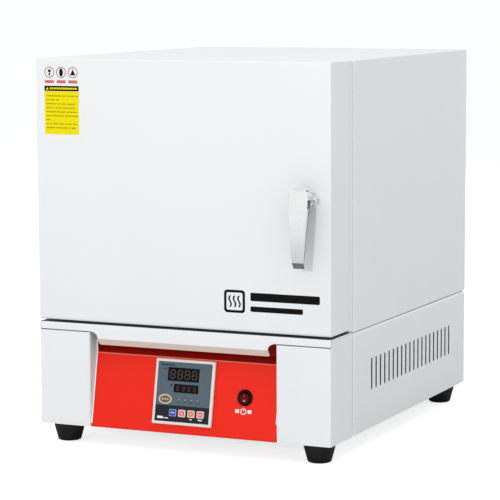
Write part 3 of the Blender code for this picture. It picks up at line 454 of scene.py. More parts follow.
def fillet(before, corner, after, radius, steps):
    """The arc that rounds one corner of a run of points."""
    back, ahead = (before - corner).normalized(), (after - corner).normalized()
    half = back.angle(ahead) / 2
    if radius <= 0 or half > math.radians(89):
        return [corner]
    reach = min(radius / math.tan(half), (before - corner).length * 0.49, (after - corner).length * 0.49)
    radius = reach * math.tan(half)
    centre = corner + (back + ahead).normalized() * radius / math.sin(half)
    first = (corner + back * reach - centre).normalized()
    last = (corner + ahead * reach - centre).normalized()
    return [centre + first.slerp(last, i / steps) * radius for i in range(steps + 1)]


def open_run(points, radius):
    """An open run of lines with rounded corners."""
    points = [Vector(point) for point in points]
    run = [points[0]]
    for before, corner, after in zip(points, points[1:], points[2:]):
        run += fillet(before, corner, after, radius, FINE)
    return [tuple(point) for point in run + [points[-1]]]


def closed_run(points, radius, steps=FINE):
    """A closed outline with rounded corners; radius is one number or one for each corner."""
    points = [Vector(point) for point in points]
    radii = radius if isinstance(radius, (list, tuple)) else [radius] * len(points)
    run = []
    for i, corner in enumerate(points):
        run += fillet(points[i - 1], corner, points[(i + 1) % len(points)], radii[i], steps)
    return [tuple(point) for point in run]


def rectangle(x, z, wide, tall, radius=0.0, steps=5):
    """A rectangle's outline round a centre."""
    a, b = wide / 2, tall / 2
    return closed_run([(x - a, z - b), (x + a, z - b), (x + a, z + b), (x - a, z + b)], radius, steps)


def ellipse(x, z, wide, tall, steps=48):
    """An ellipse's outline."""
    angles = [math.tau * i / steps for i in range(steps)]
    return [(x + wide / 2 * math.cos(a), z + tall / 2 * math.sin(a)) for a in angles]


def folded_outline(run, thickness):
    """The closed section of a folded sheet: a run of points and its copy set off to the left."""
    points = [Vector(point) for point in run]
    shifted = []
    for i, point in enumerate(points):
        before = points[max(i - 1, 0)]
        after = points[min(i + 1, len(points) - 1)]
        ways = [(b - a).normalized() for a, b in ((before, point), (point, after)) if (b - a).length > 0]
        normal = sum((Vector((-way.y, way.x)) for way in ways), Vector((0, 0))).normalized()
        stretch = 1 / max(0.5, normal.dot(Vector((-ways[0].y, ways[0].x))))
        shifted.append(point + normal * thickness * stretch)
    return [tuple(point) for point in points + shifted[::-1]]


def change(piece, kind, **settings):
    """Adds a modifier."""
    modifier = piece.modifiers.new(kind.lower(), kind)
    for key, value in settings.items():
        setattr(modifier, key, value)


def round_edges(piece, width, segments=FINE, angle=40):
    """Rounds the sharp edges of a piece."""
    change(
        piece, "BEVEL", width=width, segments=segments, limit_method="ANGLE", angle_limit=math.radians(angle)
    )


def on_level(edge, axis, level):
    """Whether an edge lies on a level plane of an axis."""
    return all(abs(vertex.co[axis] - level) < SAME for vertex in edge.verts)


def bevel(piece, chosen):
    """Rounds widely the edges that a test chooses."""
    form = bmesh.new()
    form.from_mesh(piece.data)
    edges = [edge for edge in form.edges if chosen(edge)]
    bmesh.ops.bevel(form, geom=edges, offset=WIDE_BEND, segments=FINE, profile=0.5, affect="EDGES")
    form.to_mesh(piece.data)
    form.free()


def round_front(piece, front, top=None):
    """Rounds a box widely round its front face, and round its top face when a top is given."""
    bevel(piece, lambda edge: on_level(edge, 1, front) or (top is not None and on_level(edge, 2, top)))


def paint(piece, material, chosen):
    """Gives another material to the faces whose centre and normal pass a test."""
    piece.data.materials.append(material)
    index = len(piece.data.materials) - 1
    for face in piece.data.polygons:
        if chosen(face.center, face.normal):
            face.material_index = index


def paint_bend_highlight(piece, front, top):
    """Gives the wide bends at the front and the top a lighter, glossier white: a painted highlight along the
    folded edges.
    """
    def bent(place, normal):
        """Whether a face belongs to one of these bends."""
        slanted = max(abs(value) for value in normal) < 0.985
        return slanted and (place.y < front + WIDE_BEND or place.z > top - WIDE_BEND)

    paint(piece, HIGHLIGHT_WHITE, bent)


def settle(piece, angle=32):
    """Makes the modifiers part of the mesh and shades it smooth up to an angle."""
    graph = bpy.context.evaluated_depsgraph_get()
    mesh = bpy.data.meshes.new_from_object(piece.evaluated_get(graph))
    piece.modifiers.clear()
    piece.data = mesh
    mesh.shade_smooth()
    mesh.set_sharp_from_angle(angle=math.radians(angle))
    return piece


def carve(piece, *tools, operation="DIFFERENCE"):
    """Cuts a piece with tools, or joins or intersects it, and removes them."""
    for tool in tools:
        change(piece, "BOOLEAN", operation=operation, object=tool)
        settle(piece)
        bpy.data.objects.remove(tool, do_unlink=True)
    return piece


def show(piece, body, stands_for=(), angle=32):
    """Finishes a piece: applies its modifiers, rides it on a body and says which CAD nodes it stands for."""
    settle(piece, angle)
    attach(piece, body)
    if stands_for:
        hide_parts(*stands_for)
    return piece


def hollow(low, high):
    """The rounded space inside a sheet box, to cut with."""
    inside = cutter(low, high)
    round_edges(inside, BEND - SHEET)
    return settle(inside)


def film(name, outlines, front, material, frame_matrix=None, depth=PRINT, holes=()):
    """A thin mark that stands proud of a surface at front, with holes cut through it."""
    piece = prism(name, outlines, front - depth, front + depth / 2, "Y", material)
    if holes:
        carve(piece, *[prism("tool", [hole], front - 0.001, front + 0.001, "Y") for hole in holes])
    if frame_matrix is not None:
        piece.data.transform(frame_matrix)
    return piece


def joined(name, pieces):
    """One piece from several."""
    first = pieces[0]
    form = bmesh.new()
    materials = []
    for piece in pieces:
        for material in piece.data.materials:
            if material not in materials:
                materials.append(material)
    for piece in pieces:
        offset = {i: materials.index(m) for i, m in enumerate(piece.data.materials)}
        start = len(form.faces)
        form.from_mesh(piece.data)
        form.faces.ensure_lookup_table()
        for face in form.faces[start:]:
            face.material_index = offset.get(face.material_index, 0)
    mesh = bpy.data.meshes.new(name)
    form.to_mesh(mesh)
    form.free()
    for material in materials:
        mesh.materials.append(material)
    for piece in pieces[1:]:
        bpy.data.objects.remove(piece, do_unlink=True)
    first.data = mesh
    first.name = name
    return first


# ---------------------------------------------------------------- cabinet
def make_cover():
    """The wrap-round cover with rounded edges and a narrow rim round the front."""
    front, low = COVER_LOW.y, COVER_LOW.z
    cover = box("cover", (-SIDE, front, low - PAST), (SIDE, BACK + PAST, TOP), WHITE)
    round_front(cover, front)
    round_edges(cover, BEND)
    settle(cover)
    rim = SIDE - FLANGE
    carve(
        cover,
        hollow((SHEET - SIDE, front + WIDE_BEND, BLOCK_LOW), (SIDE - SHEET, BACK + 0.02, TOP - SHEET)),
        cutter((-rim, front - PAST, BLOCK_LOW), (rim, front + PAST, TOP - FLANGE)),
        block_behind(BACK),
        cutter((-BLOCK_HALF, FRONT, BLOCK_LOW), (BLOCK_HALF, BACK + 0.05, low)),
    )
    # Painted highlight on the cover's wide front bends.
    paint_bend_highlight(cover, front, TOP + 1)
    show(cover, "cabinet", ["outer_cover"])


def vent_tool():
    """Twenty upright slots through both walls of the base."""
    count, pitch, half, first = 20, 0.01788, 0.0027, FRONT + 0.1585
    ends = SLOT_TOP - half, SLOT_BOTTOM + half
    slots = []
    for y in [first + i * pitch for i in range(count)]:
        slots.append(arc((y, ends[0]), half, 0, 180, 8) + arc((y, ends[1]), half, 180, 360, 8))
    return prism("tool", slots, -SIDE - PAST, SIDE + PAST, "X")


def make_base():
    """The lower box with its folded rims, its vents and its openings at the front and the rear."""
    base = box("base_housing", BASE_LOW, BASE_HIGH, WHITE)
    front = BASE_LOW.y
    round_front(base, front, BASE_HIGH.z)
    round_edges(base, BEND)
    settle(base)
    shrink, rim, wall, window = Vector((SHEET, SHEET, SHEET)), SIDE - FLANGE, SIDE - SHEET, 0.145
    carve(
        base,
        hollow(BASE_LOW + shrink + Vector((0, WIDE_BEND, 0)), BASE_HIGH - shrink - Vector((0, 0, 0.003))),
        cutter((-rim, front + FLANGE, 0.15), (rim, BACK - FLANGE, 0.25)),
        cutter((-rim, front - 0.02, 0.02), (rim, front + FLANGE, BASE_HIGH.z - FLANGE)),
        cutter((-wall, front - 0.02, 0.02), (wall, front + 0.025, LOWER_CUT)),
        cutter((-rim, front + FLANGE, -PAST), (rim, BACK - FLANGE, 0.05)),
        cutter((-window, BACK - PAST, 0.050), (window, BACK + PAST, 0.160)),
        vent_tool(),
    )

    def painted_shade_inside(place, normal):
        """Whether a face is inside the box or in the wall of a slot, where dark grey paints the shade
        inside.
        """
        x, y, z, slack = abs(place.x), place.y, place.z, 0.0001
        inner = x < wall + slack and front + SHEET < y < BACK - SHEET + slack
        inner = inner and BASE_LOW.z + SHEET - slack < z < BASE_HIGH.z - SHEET + slack
        slot = abs(normal.x) < 0.3 and x > wall and SLOT_BOTTOM - slack < z < SLOT_TOP + slack
        return inner or (slot and FRONT + 0.15 < y < FRONT + 0.51)

    # Painted shade: the inside of the base and the walls of the slots are dark grey, so the vents read dark.
    paint(base, SHADE_GREY, painted_shade_inside)
    # Painted highlight on the base's wide front and top bends.
    paint_bend_highlight(base, front, BASE_HIGH.z)
    show(base, "cabinet", ["base_shell"])


def make_ledge():
    """The ledge over the base front: a lip along its edge and a deeper visor that folds back."""
    top, lip = LEDGE_HIGH.z, 0.1721
    fold, end, back = 0.1621, LEDGE_LOW.z, 0.0072
    run = [(LEDGE_HIGH.y, top), (FRONT, top), (FRONT, fold), (FRONT + back, end + 0.0002)]
    ledge = prism("ledge", [folded_outline(open_run(run, 0.0018), SHEET)], -SIDE, SIDE, "X", WHITE)
    # Painted shade: the ledge's top under the door is dark grey, so the gap under the door reads black.
    paint(ledge, SHADE_GREY, lambda place, normal: normal.z > 0.9 and place.z > top - 0.0002)
    # Painted shade with a warm painted reflection: the visor's return is beige.
    paint(ledge, RETURN_SHADE_WHITE, lambda place, normal: place.z < fold - 0.0012 and place.y > FRONT + 0.0008)
    side, wide, tall, corner = 0.1376, 0.0135, 0.0088, 0.0034
    beyond, below = SIDE + 0.01, 0.13
    turns = [math.pi / 2 * i / 16 for i in range(17)]
    shape = [(beyond, lip)]
    shape += [(side + wide * (1 - math.sin(turn)), lip - tall * (1 - math.cos(turn))) for turn in turns]
    shape += arc((side - corner, end + corner), corner, 270, 360, 8)[::-1]
    shape += [(side - corner, below), (beyond, below)]
    outlines = [[(hand * x, z) for x, z in shape] for hand in (-1, 1)]
    carve(ledge, prism("tool", outlines, FRONT - 0.01, FRONT + 0.05, "Y"))
    show(ledge, "cabinet", ["ledge_visor"])


def make_pillars():
    """Both ends of the base front, each with a dark tab behind its seam with the ledge: a dark sheet that
    paints the shade behind the seam.
    """
    wide = PILLAR_HIGH.x - PILLAR_LOW.x
    top, low, shoulder, deep = PILLAR_HIGH.z, PILLAR_LOW.z, 0.1704, FRONT + 0.062
    for name, hand in (("left_pillar", -1), ("right_pillar", 1)):
        outer, inner = hand * SIDE, hand * (SIDE - wide)
        run = open_run([(outer, PILLAR_HIGH.y), (outer, FRONT), (inner, FRONT), (inner, deep)], 0.0026)
        pillar = prism(name + "_sheet", [folded_outline(run, -hand * SHEET)], low, top, "Z", WHITE)
        left, right = sorted((hand * (SIDE + 0.005), hand * (SIDE - wide - 0.005)))
        inside = sorted((hand * (SIDE - wide + 0.020), hand * (SIDE - wide - 0.005)))
        carve(
            pillar,
            cutter((left, FRONT - PAST, shoulder), (right, FRONT + 0.0026, 0.2)),
            cutter((inside[0], FRONT + 0.0028, 0), (inside[1], FRONT + 0.1, LOWER_CUT)),
        )
        # Painted against reflected light: the inner cheeks get a cool tint that cancels the red light
        # bounced onto them from the panel.
        paint(
            pillar,
            CHEEK_COUNTER_TINT,
            lambda place, normal: abs(normal.x) > 0.9 and abs(abs(place.x) - SIDE + wide) < 0.0003,
        )
        left, right = sorted((hand * (SIDE - 0.0030), hand * (SIDE - wide + 0.0014)))
        # Painted shade: a dark sheet behind the seam with the ledge, so the seam reads dark.
        tab = box("tab", (left, FRONT + SHEET, 0.1660), (right, FRONT + 2 * SHEET, top - SHEET), SHADE_GREY)
        show(joined(name + "_sheet", [pillar, tab]), "cabinet", [name])


def make_panel():
    """The red panel, folded at the bottom and back under the visor, and the white strip down each side. Its
    fold carries a painted highlight, its part under the visor and its end plates painted shade, and the
    strips a painted highlight.
    """
    level = FRONT + (PANEL_FOLD - FLOOR_OF_BASE) * math.tan(PANEL_LEAN)
    rise, slack = PANEL_HIGH.z - PANEL_FOLD, 0.0012
    run = [(FRONT + 0.024, FLOOR_OF_BASE), (FRONT, FLOOR_OF_BASE), (level, PANEL_FOLD)]
    run += [(level + rise - 0.0008, PANEL_FOLD + 0.0034), (level + rise - 0.0004, PANEL_HIGH.z - 0.0006)]
    outline = folded_outline(open_run(run, 0.0020), -SHEET)
    panel = prism("panel", [outline], -PANEL_HALF, PANEL_HALF, "X", RED)
    # Painted highlight: a pinker, glossier red along the fold.
    paint(panel, RED_FOLD_HIGHLIGHT, lambda place, _: abs(place.z - PANEL_FOLD) < slack and place.y < level + slack)
    # Painted shade: the panel's part behind the fold, under the visor, is darker red.
    paint(panel, RED_PAINTED_SHADE, lambda place, _: place.y > level + slack and place.z > PANEL_FOLD - 0.004)
    half = 0.0454
    carve(
        panel,
        cutter((-half, -0.02, CONTROLLER_U - half), (half, 0.02, CONTROLLER_U + half), PANEL_FRAME),
        drill(0.0101, 0.02, (SWITCH_AT.x, 0, SWITCH_U), (0, -1, 0), 48, PANEL_FRAME),
    )
    under, strip_top = 0.1700, 0.1568
    ends, hems = [], []
    for hand, start in ((-1, 0.0060), (1, 0.0260)):
        low, high = sorted((hand * PANEL_HALF, hand * (PANEL_HALF - 0.0008)))
        plate = [(level, PANEL_FOLD), (level + rise, PANEL_FOLD), (level + rise, under), (level, under)]
        # Painted shade: the end plates behind the fold are the darker red too.
        ends.append(prism("end", [plate], low, high, "X", RED_PAINTED_SHADE))
        low, high = sorted((hand * PANEL_HALF, hand * (PANEL_HALF - 0.0020)))
        foot = (FRONT + start * math.tan(PANEL_LEAN), FLOOR_OF_BASE + start)
        strip = [foot, (level, PANEL_FOLD), (level, strip_top)]
        strip = [(y - 0.0001, z) for y, z in strip] + [(y - 0.0009, z) for y, z in strip[::-1]]
        # Painted highlight: the hems take the lighter, glossier white of the bends.
        hems.append(prism("hem", [strip], low, high, "X", HIGHLIGHT_WHITE))
    show(joined("panel", [panel, *ends]), "cabinet", ["control_panel"])
    show(joined("panel_hems", hems), "cabinet")


def screw_head(form, place, direction, radius):
    """A pan-head screw with a cross recess, added to a bmesh."""
    steps, height = 20, 0.0016
    turn = Matrix.Translation(place) @ Vector(direction).to_track_quat("Z", "Y").to_matrix().to_4x4()

    def ring(levels):
        """A ring of points; each level is a radius and a height."""
        angles = [math.tau * i / steps for i in range(steps)]
        spots = zip(angles, levels)
        return [form.verts.new(turn @ Vector((r * math.cos(a), r * math.sin(a), h))) for a, (r, h) in spots]

    dome = [(radius, 0.0), (radius, height * 0.45), (radius * 0.86, height * 0.8), (radius * 0.55, height)]
    rings = [ring([level] * steps) for level in dome]
    bottom = form.verts.new(turn @ Vector((0, 0, height * 0.25)))
    arm, web = (radius * 0.42, height * 0.30), (radius * 0.20, height * 0.95)
    rings.append(ring([web if i % 5 else arm for i in range(steps)]))
    for i in range(steps):
        j = (i + 1) % steps
        for first, second in zip(rings, rings[1:]):
            form.faces.new((first[i], first[j], second[j], second[i]))
        form.faces.new((rings[-1][i], rings[-1][j], bottom))


def make_screws(name, places, direction, body, radius=0.0033):
    """One piece for a group of screws."""
    form = bmesh.new()
    for place in places:
        screw_head(form, place, direction, radius)
    show(piece_of(form, name, STEEL), body)


# ---------------------------------------------------------------- controls, in the panel's own frame
def marks(name, outlines, front, material, body="cabinet", depth=PRINT, **more):
    """Flat marks on the panel's plane, standing proud of a surface at front."""
    show(film(name, outlines, front, material, PANEL_FRAME, depth, **more), body)


def make_controller():
    """The square controller: bezel and case, the face's dark band, badge, lamps and legends."""
    u, half = CONTROLLER_U, CONTROLLER_HALF
    low, high = (-half, -BEZEL_DEPTH, u - half), (half, -0.0003, u + half)
    bezel = box("controller_bezel", low, high, CREAM, PANEL_FRAME)
    round_edges(bezel, 0.0016, 6)
    settle(bezel)
    body, pocket, face = 0.045, 0.042, FACE_HALF + 0.0003
    case, room, recess = (
        cutter((-side, near, u - side), (side, far, u + side), PANEL_FRAME)
        for side, near, far in ((body, -0.002, 0.060), (pocket, -0.02, 0.058), (face, -0.02, -0.0020))
    )
    carve(bezel, case, operation="UNION")
    carve(bezel, recess, room)
    show(bezel, "cabinet", ["controller_case"])

    low, wide, tall = u - FACE_HALF, 0.0061, 0.0056
    outline = [(-FACE_HALF, low), (FACE_HALF, low), (FACE_HALF, BAND_TOP), (-FACE_HALF, BAND_TOP)]
    band = film("controller_band", [outline], FACE_Y, NIGHT, PANEL_FRAME)
    corners = [((x - wide, -0.02, KEY_U - tall), (x + wide, 0.0, KEY_U + tall)) for x in KEY_X.values()]
    carve(band, *[cutter(*pair, PANEL_FRAME) for pair in corners])
    show(band, "cabinet")

    x, z = -0.0290, 0.0500
    marks("badge_rim", [ellipse(x, z, 0.0216, 0.0148)], FACE_Y, CREAM_INK)
    marks("badge_field", [ellipse(x, z, 0.0166, 0.0104)], FACE_Y - PRINT, BRONZE_INK)
    spots = [ellipse(x + offset, z, 0.0026, 0.0030) for offset in (-0.0042, 0, 0.0042)]
    marks("badge_spots", spots, FACE_Y - 2 * PRINT, CREAM_INK)
    lens = [(0, 0.0007), (0.0006, 0.0006), (0.0010, 0.0002), (0.0010, -0.0002), (0, -0.0002)]
    lamps = [-0.0061 + i * 0.0098 for i in range(4)]
    for i, x in enumerate(lamps):
        show(lathe(f"lamp_{i}", lens, (x, FACE_Y, 0.0505), (0, -1, 0), LAMP, 20, PANEL_FRAME), "cabinet")
    marks("lamp_legends", [rectangle(x, 0.0474, 0.0036, 0.0011) for x in lamps], FACE_Y, NAVY_INK)
    bars = [
        rectangle(-0.0285, 0.1002, 0.0230, 0.0016),
        rectangle(-0.0322, 0.0945, 0.0040, 0.0015),
        rectangle(-0.0208, 0.0712, 0.0032, 0.0022, 0.0006),
    ]
    marks("face_legends", bars, FACE_Y, NAVY_INK)
    bars = [
        rectangle(-0.0350, 0.0232, 0.0092, 0.0034),
        rectangle(-0.0255, 0.0226, 0.0072, 0.0014),
        rectangle(KEY_X["down"], 0.0227, 0.0034, 0.0016),
        rectangle(KEY_X["up"], 0.0227, 0.0066, 0.0016),
    ]
    marks("band_legends", bars, FACE_Y - PRINT, PALE_INK)


def make_keys():
    """The four keys: a blue one with a light bar and three pink ones with arrows."""
    top = FACE_Y - 0.0008
    for name, x in KEY_X.items():
        body, color, rim, field = name + "_key", "pink_key", PINK_RIM, PINK
        if name == "set":
            color, rim, field = "blue_key", BLUE_RIM, BLUE
        outline = rectangle(x, KEY_U, KEY_WIDE, KEY_TALL, 0.0016)
        cap = prism(name + "_cap", [outline], top, FACE_Y + 0.0045, "Y", rim, PANEL_FRAME)
        round_edges(cap, 0.0005, 4, 60)
        show(cap, body, [name + "_button"])
        inner = rectangle(x, KEY_U, KEY_WIDE - 0.0030, KEY_TALL - 0.0026, 0.0010)
        marks(name + "_field", [inner], top, field, body)
        if name == "set":
            marks("set_light", [ellipse(x, KEY_U + 0.0002, 0.0070, 0.0034)], top - PRINT, BLUE_LIGHT, body)
            continue
        for layer, (size, ink) in enumerate(((1.0, KEY_RED), (0.62, PINK_RIM)), 1):
            tip, wing, stem, end = (length * size for length in (0.0036, 0.0033, 0.0015, -0.0034))
            arrow = [(0, tip), (wing, 0), (stem, 0), (stem, end), (-stem, end), (-stem, 0), (-wing, 0)]
            turn = Matrix.Rotation(math.radians(ARROWS[name]), 2)
            turned = [tuple(Vector((x, KEY_U)) + turn @ Vector(point)) for point in arrow]
            marks(f"{name}_arrow_{layer}", [turned], top - layer * PRINT, ink, body)


def digit_segments(x, z, high):
    """The seven bars of one digit, each with pointed ends."""
    half, rise, line = high * 0.25, high * 0.43, high * 0.145
    room = line * 0.12
    levels = (-1, 0, 1)
    ends = [((-half, j * rise), (half, j * rise)) for j in levels]
    ends += [((i * half, j * rise), (i * half, k * rise)) for i in (-1, 1) for j, k in ((-1, 0), (0, 1))]
    bars = []
    for a, b in ends:
        a, b = Vector(a), Vector(b)
        way = (b - a).normalized()
        across, tip = Vector((-way.y, way.x)) * line / 2, way * line / 2
        a, b = a + way * room, b - way * room
        bar = (a, a + tip + across, b - tip + across, b, b - tip - across, a + tip - across)
        bars.append([tuple(p + Vector((x, z))) for p in bar])
    return bars


def make_windows():
    """Four unlit digits on each of the two smoked windows."""
    for name, x, z, wide, high in (
        ("upper", -0.0020, 0.0870, 0.0500, 0.0140),
        ("lower", 0.0035, 0.0668, 0.0390, 0.0080),
    ):
        bars = []
        for i in range(4):
            bars += digit_segments(x + (i - 1.5) * wide / 4.25, z, high)
        marks(f"digits_{name}", bars, FACE_Y + 0.0002, SEGMENT, depth=PRINT / 2)


def make_switch():
    """The round switch: a domed collar and a red rocker with two marks, over a power symbol and two bars."""
    at = SWITCH_AT.x, 0, SWITCH_U
    profile = [
        (0.0080, 0.0010), (0.0084, 0.0021), (0.0094, 0.0026), (0.0107, 0.0024), (0.0117, 0.0016),
        (0.0121, 0.0008), (0.0121, 0.0003), (0.0098, 0.0003), (0.0098, -0.0180), (0.0030, -0.0180),
        (0.0030, -0.0127), (0.0082, -0.0127),
    ]
    collar = lathe("switch_collar", profile, at, (0, -1, 0), COLLAR, 64, PANEL_FRAME)
    show(collar, "cabinet", ["switch_housing"], 40)

    rest = Matrix.Rotation(math.radians(10), 4, "X")
    place = PANEL_FRAME @ Matrix.Translation((SWITCH_AT.x, 0.0015, SWITCH_U)) @ rest
    half = 0.0073
    top = [(-0.0044 - 0.0014 * abs(t) ** 1.6, 0.0072 * t) for t in [1 - i / 8 for i in range(17)]]
    outline = top + [(-0.0010, -0.0074), (0.0055, -0.0030), (0.0055, 0.0030), (-0.0010, 0.0074)]
    rocker = prism("rocker_cap", [outline], -half, half, "X", ROCKER)
    carve(rocker, drill(half, 0.02, direction=(0, 1, 0), steps=64), operation="INTERSECT")
    rocker.data.transform(place)
    round_edges(rocker, 0.0004, 3, 50)
    show(rocker, "rocker", ["switch_rocker"])
    front, back, z = -0.0054, -0.0046, 0.0036
    show(prism("on_mark", [rectangle(0, z, 0.0007, 0.0026)], front, back, "Y", PINK, place), "rocker")
    ring = prism("off_mark", [ellipse(0, -z, 0.0028, 0.0030, 24)], front, back, "Y", PINK_RIM)
    carve(ring, prism("tool", [ellipse(0, -z, 0.0018, 0.0020, 24)], -0.01, 0.0, "Y"))
    ring.data.transform(place)
    show(ring, "rocker")

    x, z = SWITCH_AT.x - 0.0012, 0.0408
    holes = [ellipse(x, z, 0.0068, 0.0068), rectangle(x, z + 0.004, 0.0040, 0.0060)]
    marks("power_ring", [ellipse(x, z, 0.0096, 0.0096)], 0, PALE_INK, holes=holes)
    bars = [rectangle(x, z + 0.0032, 0.0014, 0.0052)]
    bars += [rectangle(x + offset, z, 0.0062, 0.0052, 0.0008) for offset in (-0.0098, 0.0098)]
    marks("power_bars", bars, 0, PALE_INK)


# ---------------------------------------------------------------- door
def crank_slot():
    """The slot in the door's face and the handle's base, to cut with."""
    x, z = HANDLE_AT.x, HANDLE_AT.z
    return cutter((x - 0.004, FRONT - PAST, z - 0.018), (x + 0.004, FRONT + PAST, z + 0.006))


def make_door():
    """The door's outer pan, with rounded edges and the slot for the crank."""
    door = box("door_panel", DOOR_LOW, (SIDE, DOOR_HIGH.y + PAST, TOP), WHITE)
    bevel(door, lambda edge: on_level(edge, 1, FRONT) and on_level(edge, 2, DOOR_LOW.z))
    round_edges(door, BEND)
    settle(door)
    carve(
        door,
        hollow(DOOR_LOW + Vector((SHEET, SHEET, SHEET)), (SIDE - SHEET, DOOR_HIGH.y + 0.02, TOP - SHEET)),
        block_behind(DOOR_HIGH.y),
        crank_slot(),
    )
    show(door, "door", ["door_skin"])


def door_marks(name, outlines, layer, material, holes=()):
    """Flat marks on the door's face; layer counts the films below them."""
    show(film(name, outlines, FRONT - layer * PRINT, material, holes=holes), "door")


def make_door_label():
    """A generic sticker: three rings with plain shapes, a dark header and rows of plain dashes."""
    left, right = -SIDE + 0.0143, -SIDE + 0.0713
    top, bottom = TOP - 0.0095, TOP - 0.1125
    centre, wide = (left + right) / 2, right - left
    backing = rectangle(centre, (top + bottom) / 2, wide + 0.0030, top - bottom, 0.0008)
    door_marks("label_backing", [backing], 0, STICKER)
    z, outer, inner = TOP - 0.0203, 0.0160, 0.0140
    rings, bars = [], []
    for i, x in enumerate([left + 0.0085 + i * 0.0195 for i in range(3)]):
        ring, hole = ellipse(x, z, outer, outer), ellipse(x, z, inner, inner)
        rings.append(film(f"label_ring_{i}", [ring], FRONT - PRINT, RING_INK, holes=[hole]))
        bars.append(rectangle(x, TOP - 0.0339, 0.0150, 0.0044, 0.0006))
    show(joined("label_rings", rings), "door")
    door_marks("label_bars", bars, 1, RED_INK)
    shapes = [
        ellipse(left + 0.0085, z + 0.0022, 0.0046, 0.0046),
        rectangle(left + 0.0085, z - 0.0028, 0.0024, 0.0040),
        ellipse(left + 0.0280, z, 0.0062, 0.0120),
        [(left + 0.0432, z - 0.0040), (left + 0.0518, z - 0.0040), (left + 0.0475, z + 0.0050)],
    ]
    door_marks("label_shapes", shapes, 1, BLACK_INK)
    z, header, line = TOP - 0.0438, 0.0076, 0.0026
    door_marks("label_header", [rectangle(centre, z, wide, header)], 1, BLACK_INK)
    dashes = [[(left + 0.0022, z - 0.0020), (left + 0.0070, z - 0.0020), (left + 0.0046, z + 0.0022)]]
    x = left + 0.0088
    draw = random.Random(4)
    while x < right - 0.0055:
        length = draw.uniform(0.0024, 0.0050)
        dashes.append(rectangle(x + length / 2, z, length, line))
        x += length + 0.0007
    door_marks("label_header_dashes", dashes, 2, YELLOW_INK)
    field_top, margin = z - header / 2 - 0.0004, 0.0030
    field = rectangle(centre, (field_top + bottom + 0.0015) / 2, wide, field_top - bottom - 0.0015)
    door_marks("label_field", [field], 1, YELLOW_INK)
    dashes = []
    for i, share in enumerate([1.0, 0.38, 0.92, 0.97, 1.0, 1.0, 0.12, 1.0, 0.9]):
        z = field_top - 0.0068 - i * 0.00585
        x = left + margin
        end = x + share * (wide - 2 * margin)
        while x < end:
            length = draw.uniform(0.0016, 0.0044)
            dashes.append(rectangle(min(x + length / 2, end), z, length, line / 2))
            x += length + draw.choice((0.0005, 0.0005, 0.0020))
    door_marks("label_rows", dashes, 2, OLIVE_INK)


def make_door_mark():
    """A generic print at the lower right: a chamber with heat lines, and two bars."""
    left, right = SIDE - 0.1656, SIDE - 0.0166
    low, high = TOP - 0.3600, TOP - 0.3270
    tall, middle = high - low, (low + high) / 2
    icon, room = left + tall / 2, tall - 0.0076
    hole = rectangle(icon, middle, room, room, 0.0026)
    door_marks("print_frame", [rectangle(icon, middle, tall, tall, 0.0050)], 0, BLACK_INK, [hole])
    waves, half = [], 0.0013
    for offset in (-0.0070, 0, 0.0070):
        span = [i / 24 for i in range(25)]
        line = [(icon + offset + 0.0016 * math.sin(math.tau * t), middle + (t - 0.5) * 0.0165) for t in span]
        waves.append([(x - half, z) for x, z in line] + [(x + half, z) for x, z in line[::-1]])
    door_marks("print_waves", waves, 0, BLACK_INK)
    start = icon + tall / 2 + 0.0085
    bars = [
        rectangle((start + right) / 2, middle + 0.0078, right - start, 0.0120, 0.0022),
        rectangle((start + right) / 2 - 0.0130, middle - 0.0098, right - start - 0.0260, 0.0078, 0.0018),
    ]
    door_marks("print_bars", bars, 0, BLACK_INK)


def make_seal():
    """The ceramic rope round the plug: four strands twisted together along a square loop."""
    low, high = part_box("door_seal")
    x, y, z = (low.x + high.x) / 2, (low.y + high.y) / 2, (low.z + high.z) / 2
    side, corner = high.x - low.x - 0.0100, 0.012
    points = [Vector((a, y, b)) for a, b in rectangle(x, z, side, side, corner, 10)]
    lengths = [(points[(i + 1) % len(points)] - p).length for i, p in enumerate(points)]
    total = sum(lengths)
    turns, strands, sides, lay, thick = 48, 4, 8, 0.0016, 0.0017
    count = turns * 12
    deep = Vector((0, 1, 0))

    def place(distance):
        """The point and the outward direction at a distance along the loop."""
        for i, length in enumerate(lengths):
            if distance <= length or i == len(lengths) - 1:
                way = (points[(i + 1) % len(points)] - points[i]).normalized()
                return points[i] + way * distance, Vector((way.z, 0, -way.x))
            distance -= length

    form = bmesh.new()
    for strand in range(strands):
        rings = []
        for i in range(count):
            spot, out = place(total * i / count)
            angle = math.tau * strand / strands + math.tau * turns * i / count
            middle = spot + (out * math.cos(angle) + deep * math.sin(angle)) * lay
            angles = [math.tau * k / sides for k in range(sides)]
            ring = [middle + (out * math.cos(b) + deep * math.sin(b)) * thick for b in angles]
            rings.append([form.verts.new(point) for point in ring])
        for first, second in zip(rings, rings[1:] + rings[:1]):
            for k in range(sides):
                form.faces.new((first[k], first[(k + 1) % sides], second[(k + 1) % sides], second[k]))
    show(piece_of(form, "rope_seal", ROPE), "door", ["door_seal"], 80)


# ---------------------------------------------------------------- handle, hinges
def lever_face(z):
    """How far the lever's bowed front stands before its pivot, at a height."""
    down = min(1.0, max(0.0, (0.0120 - z) / 0.0992))
    return 0.0180 + 0.0106 * (down - down ** 3 * 2 / 3)


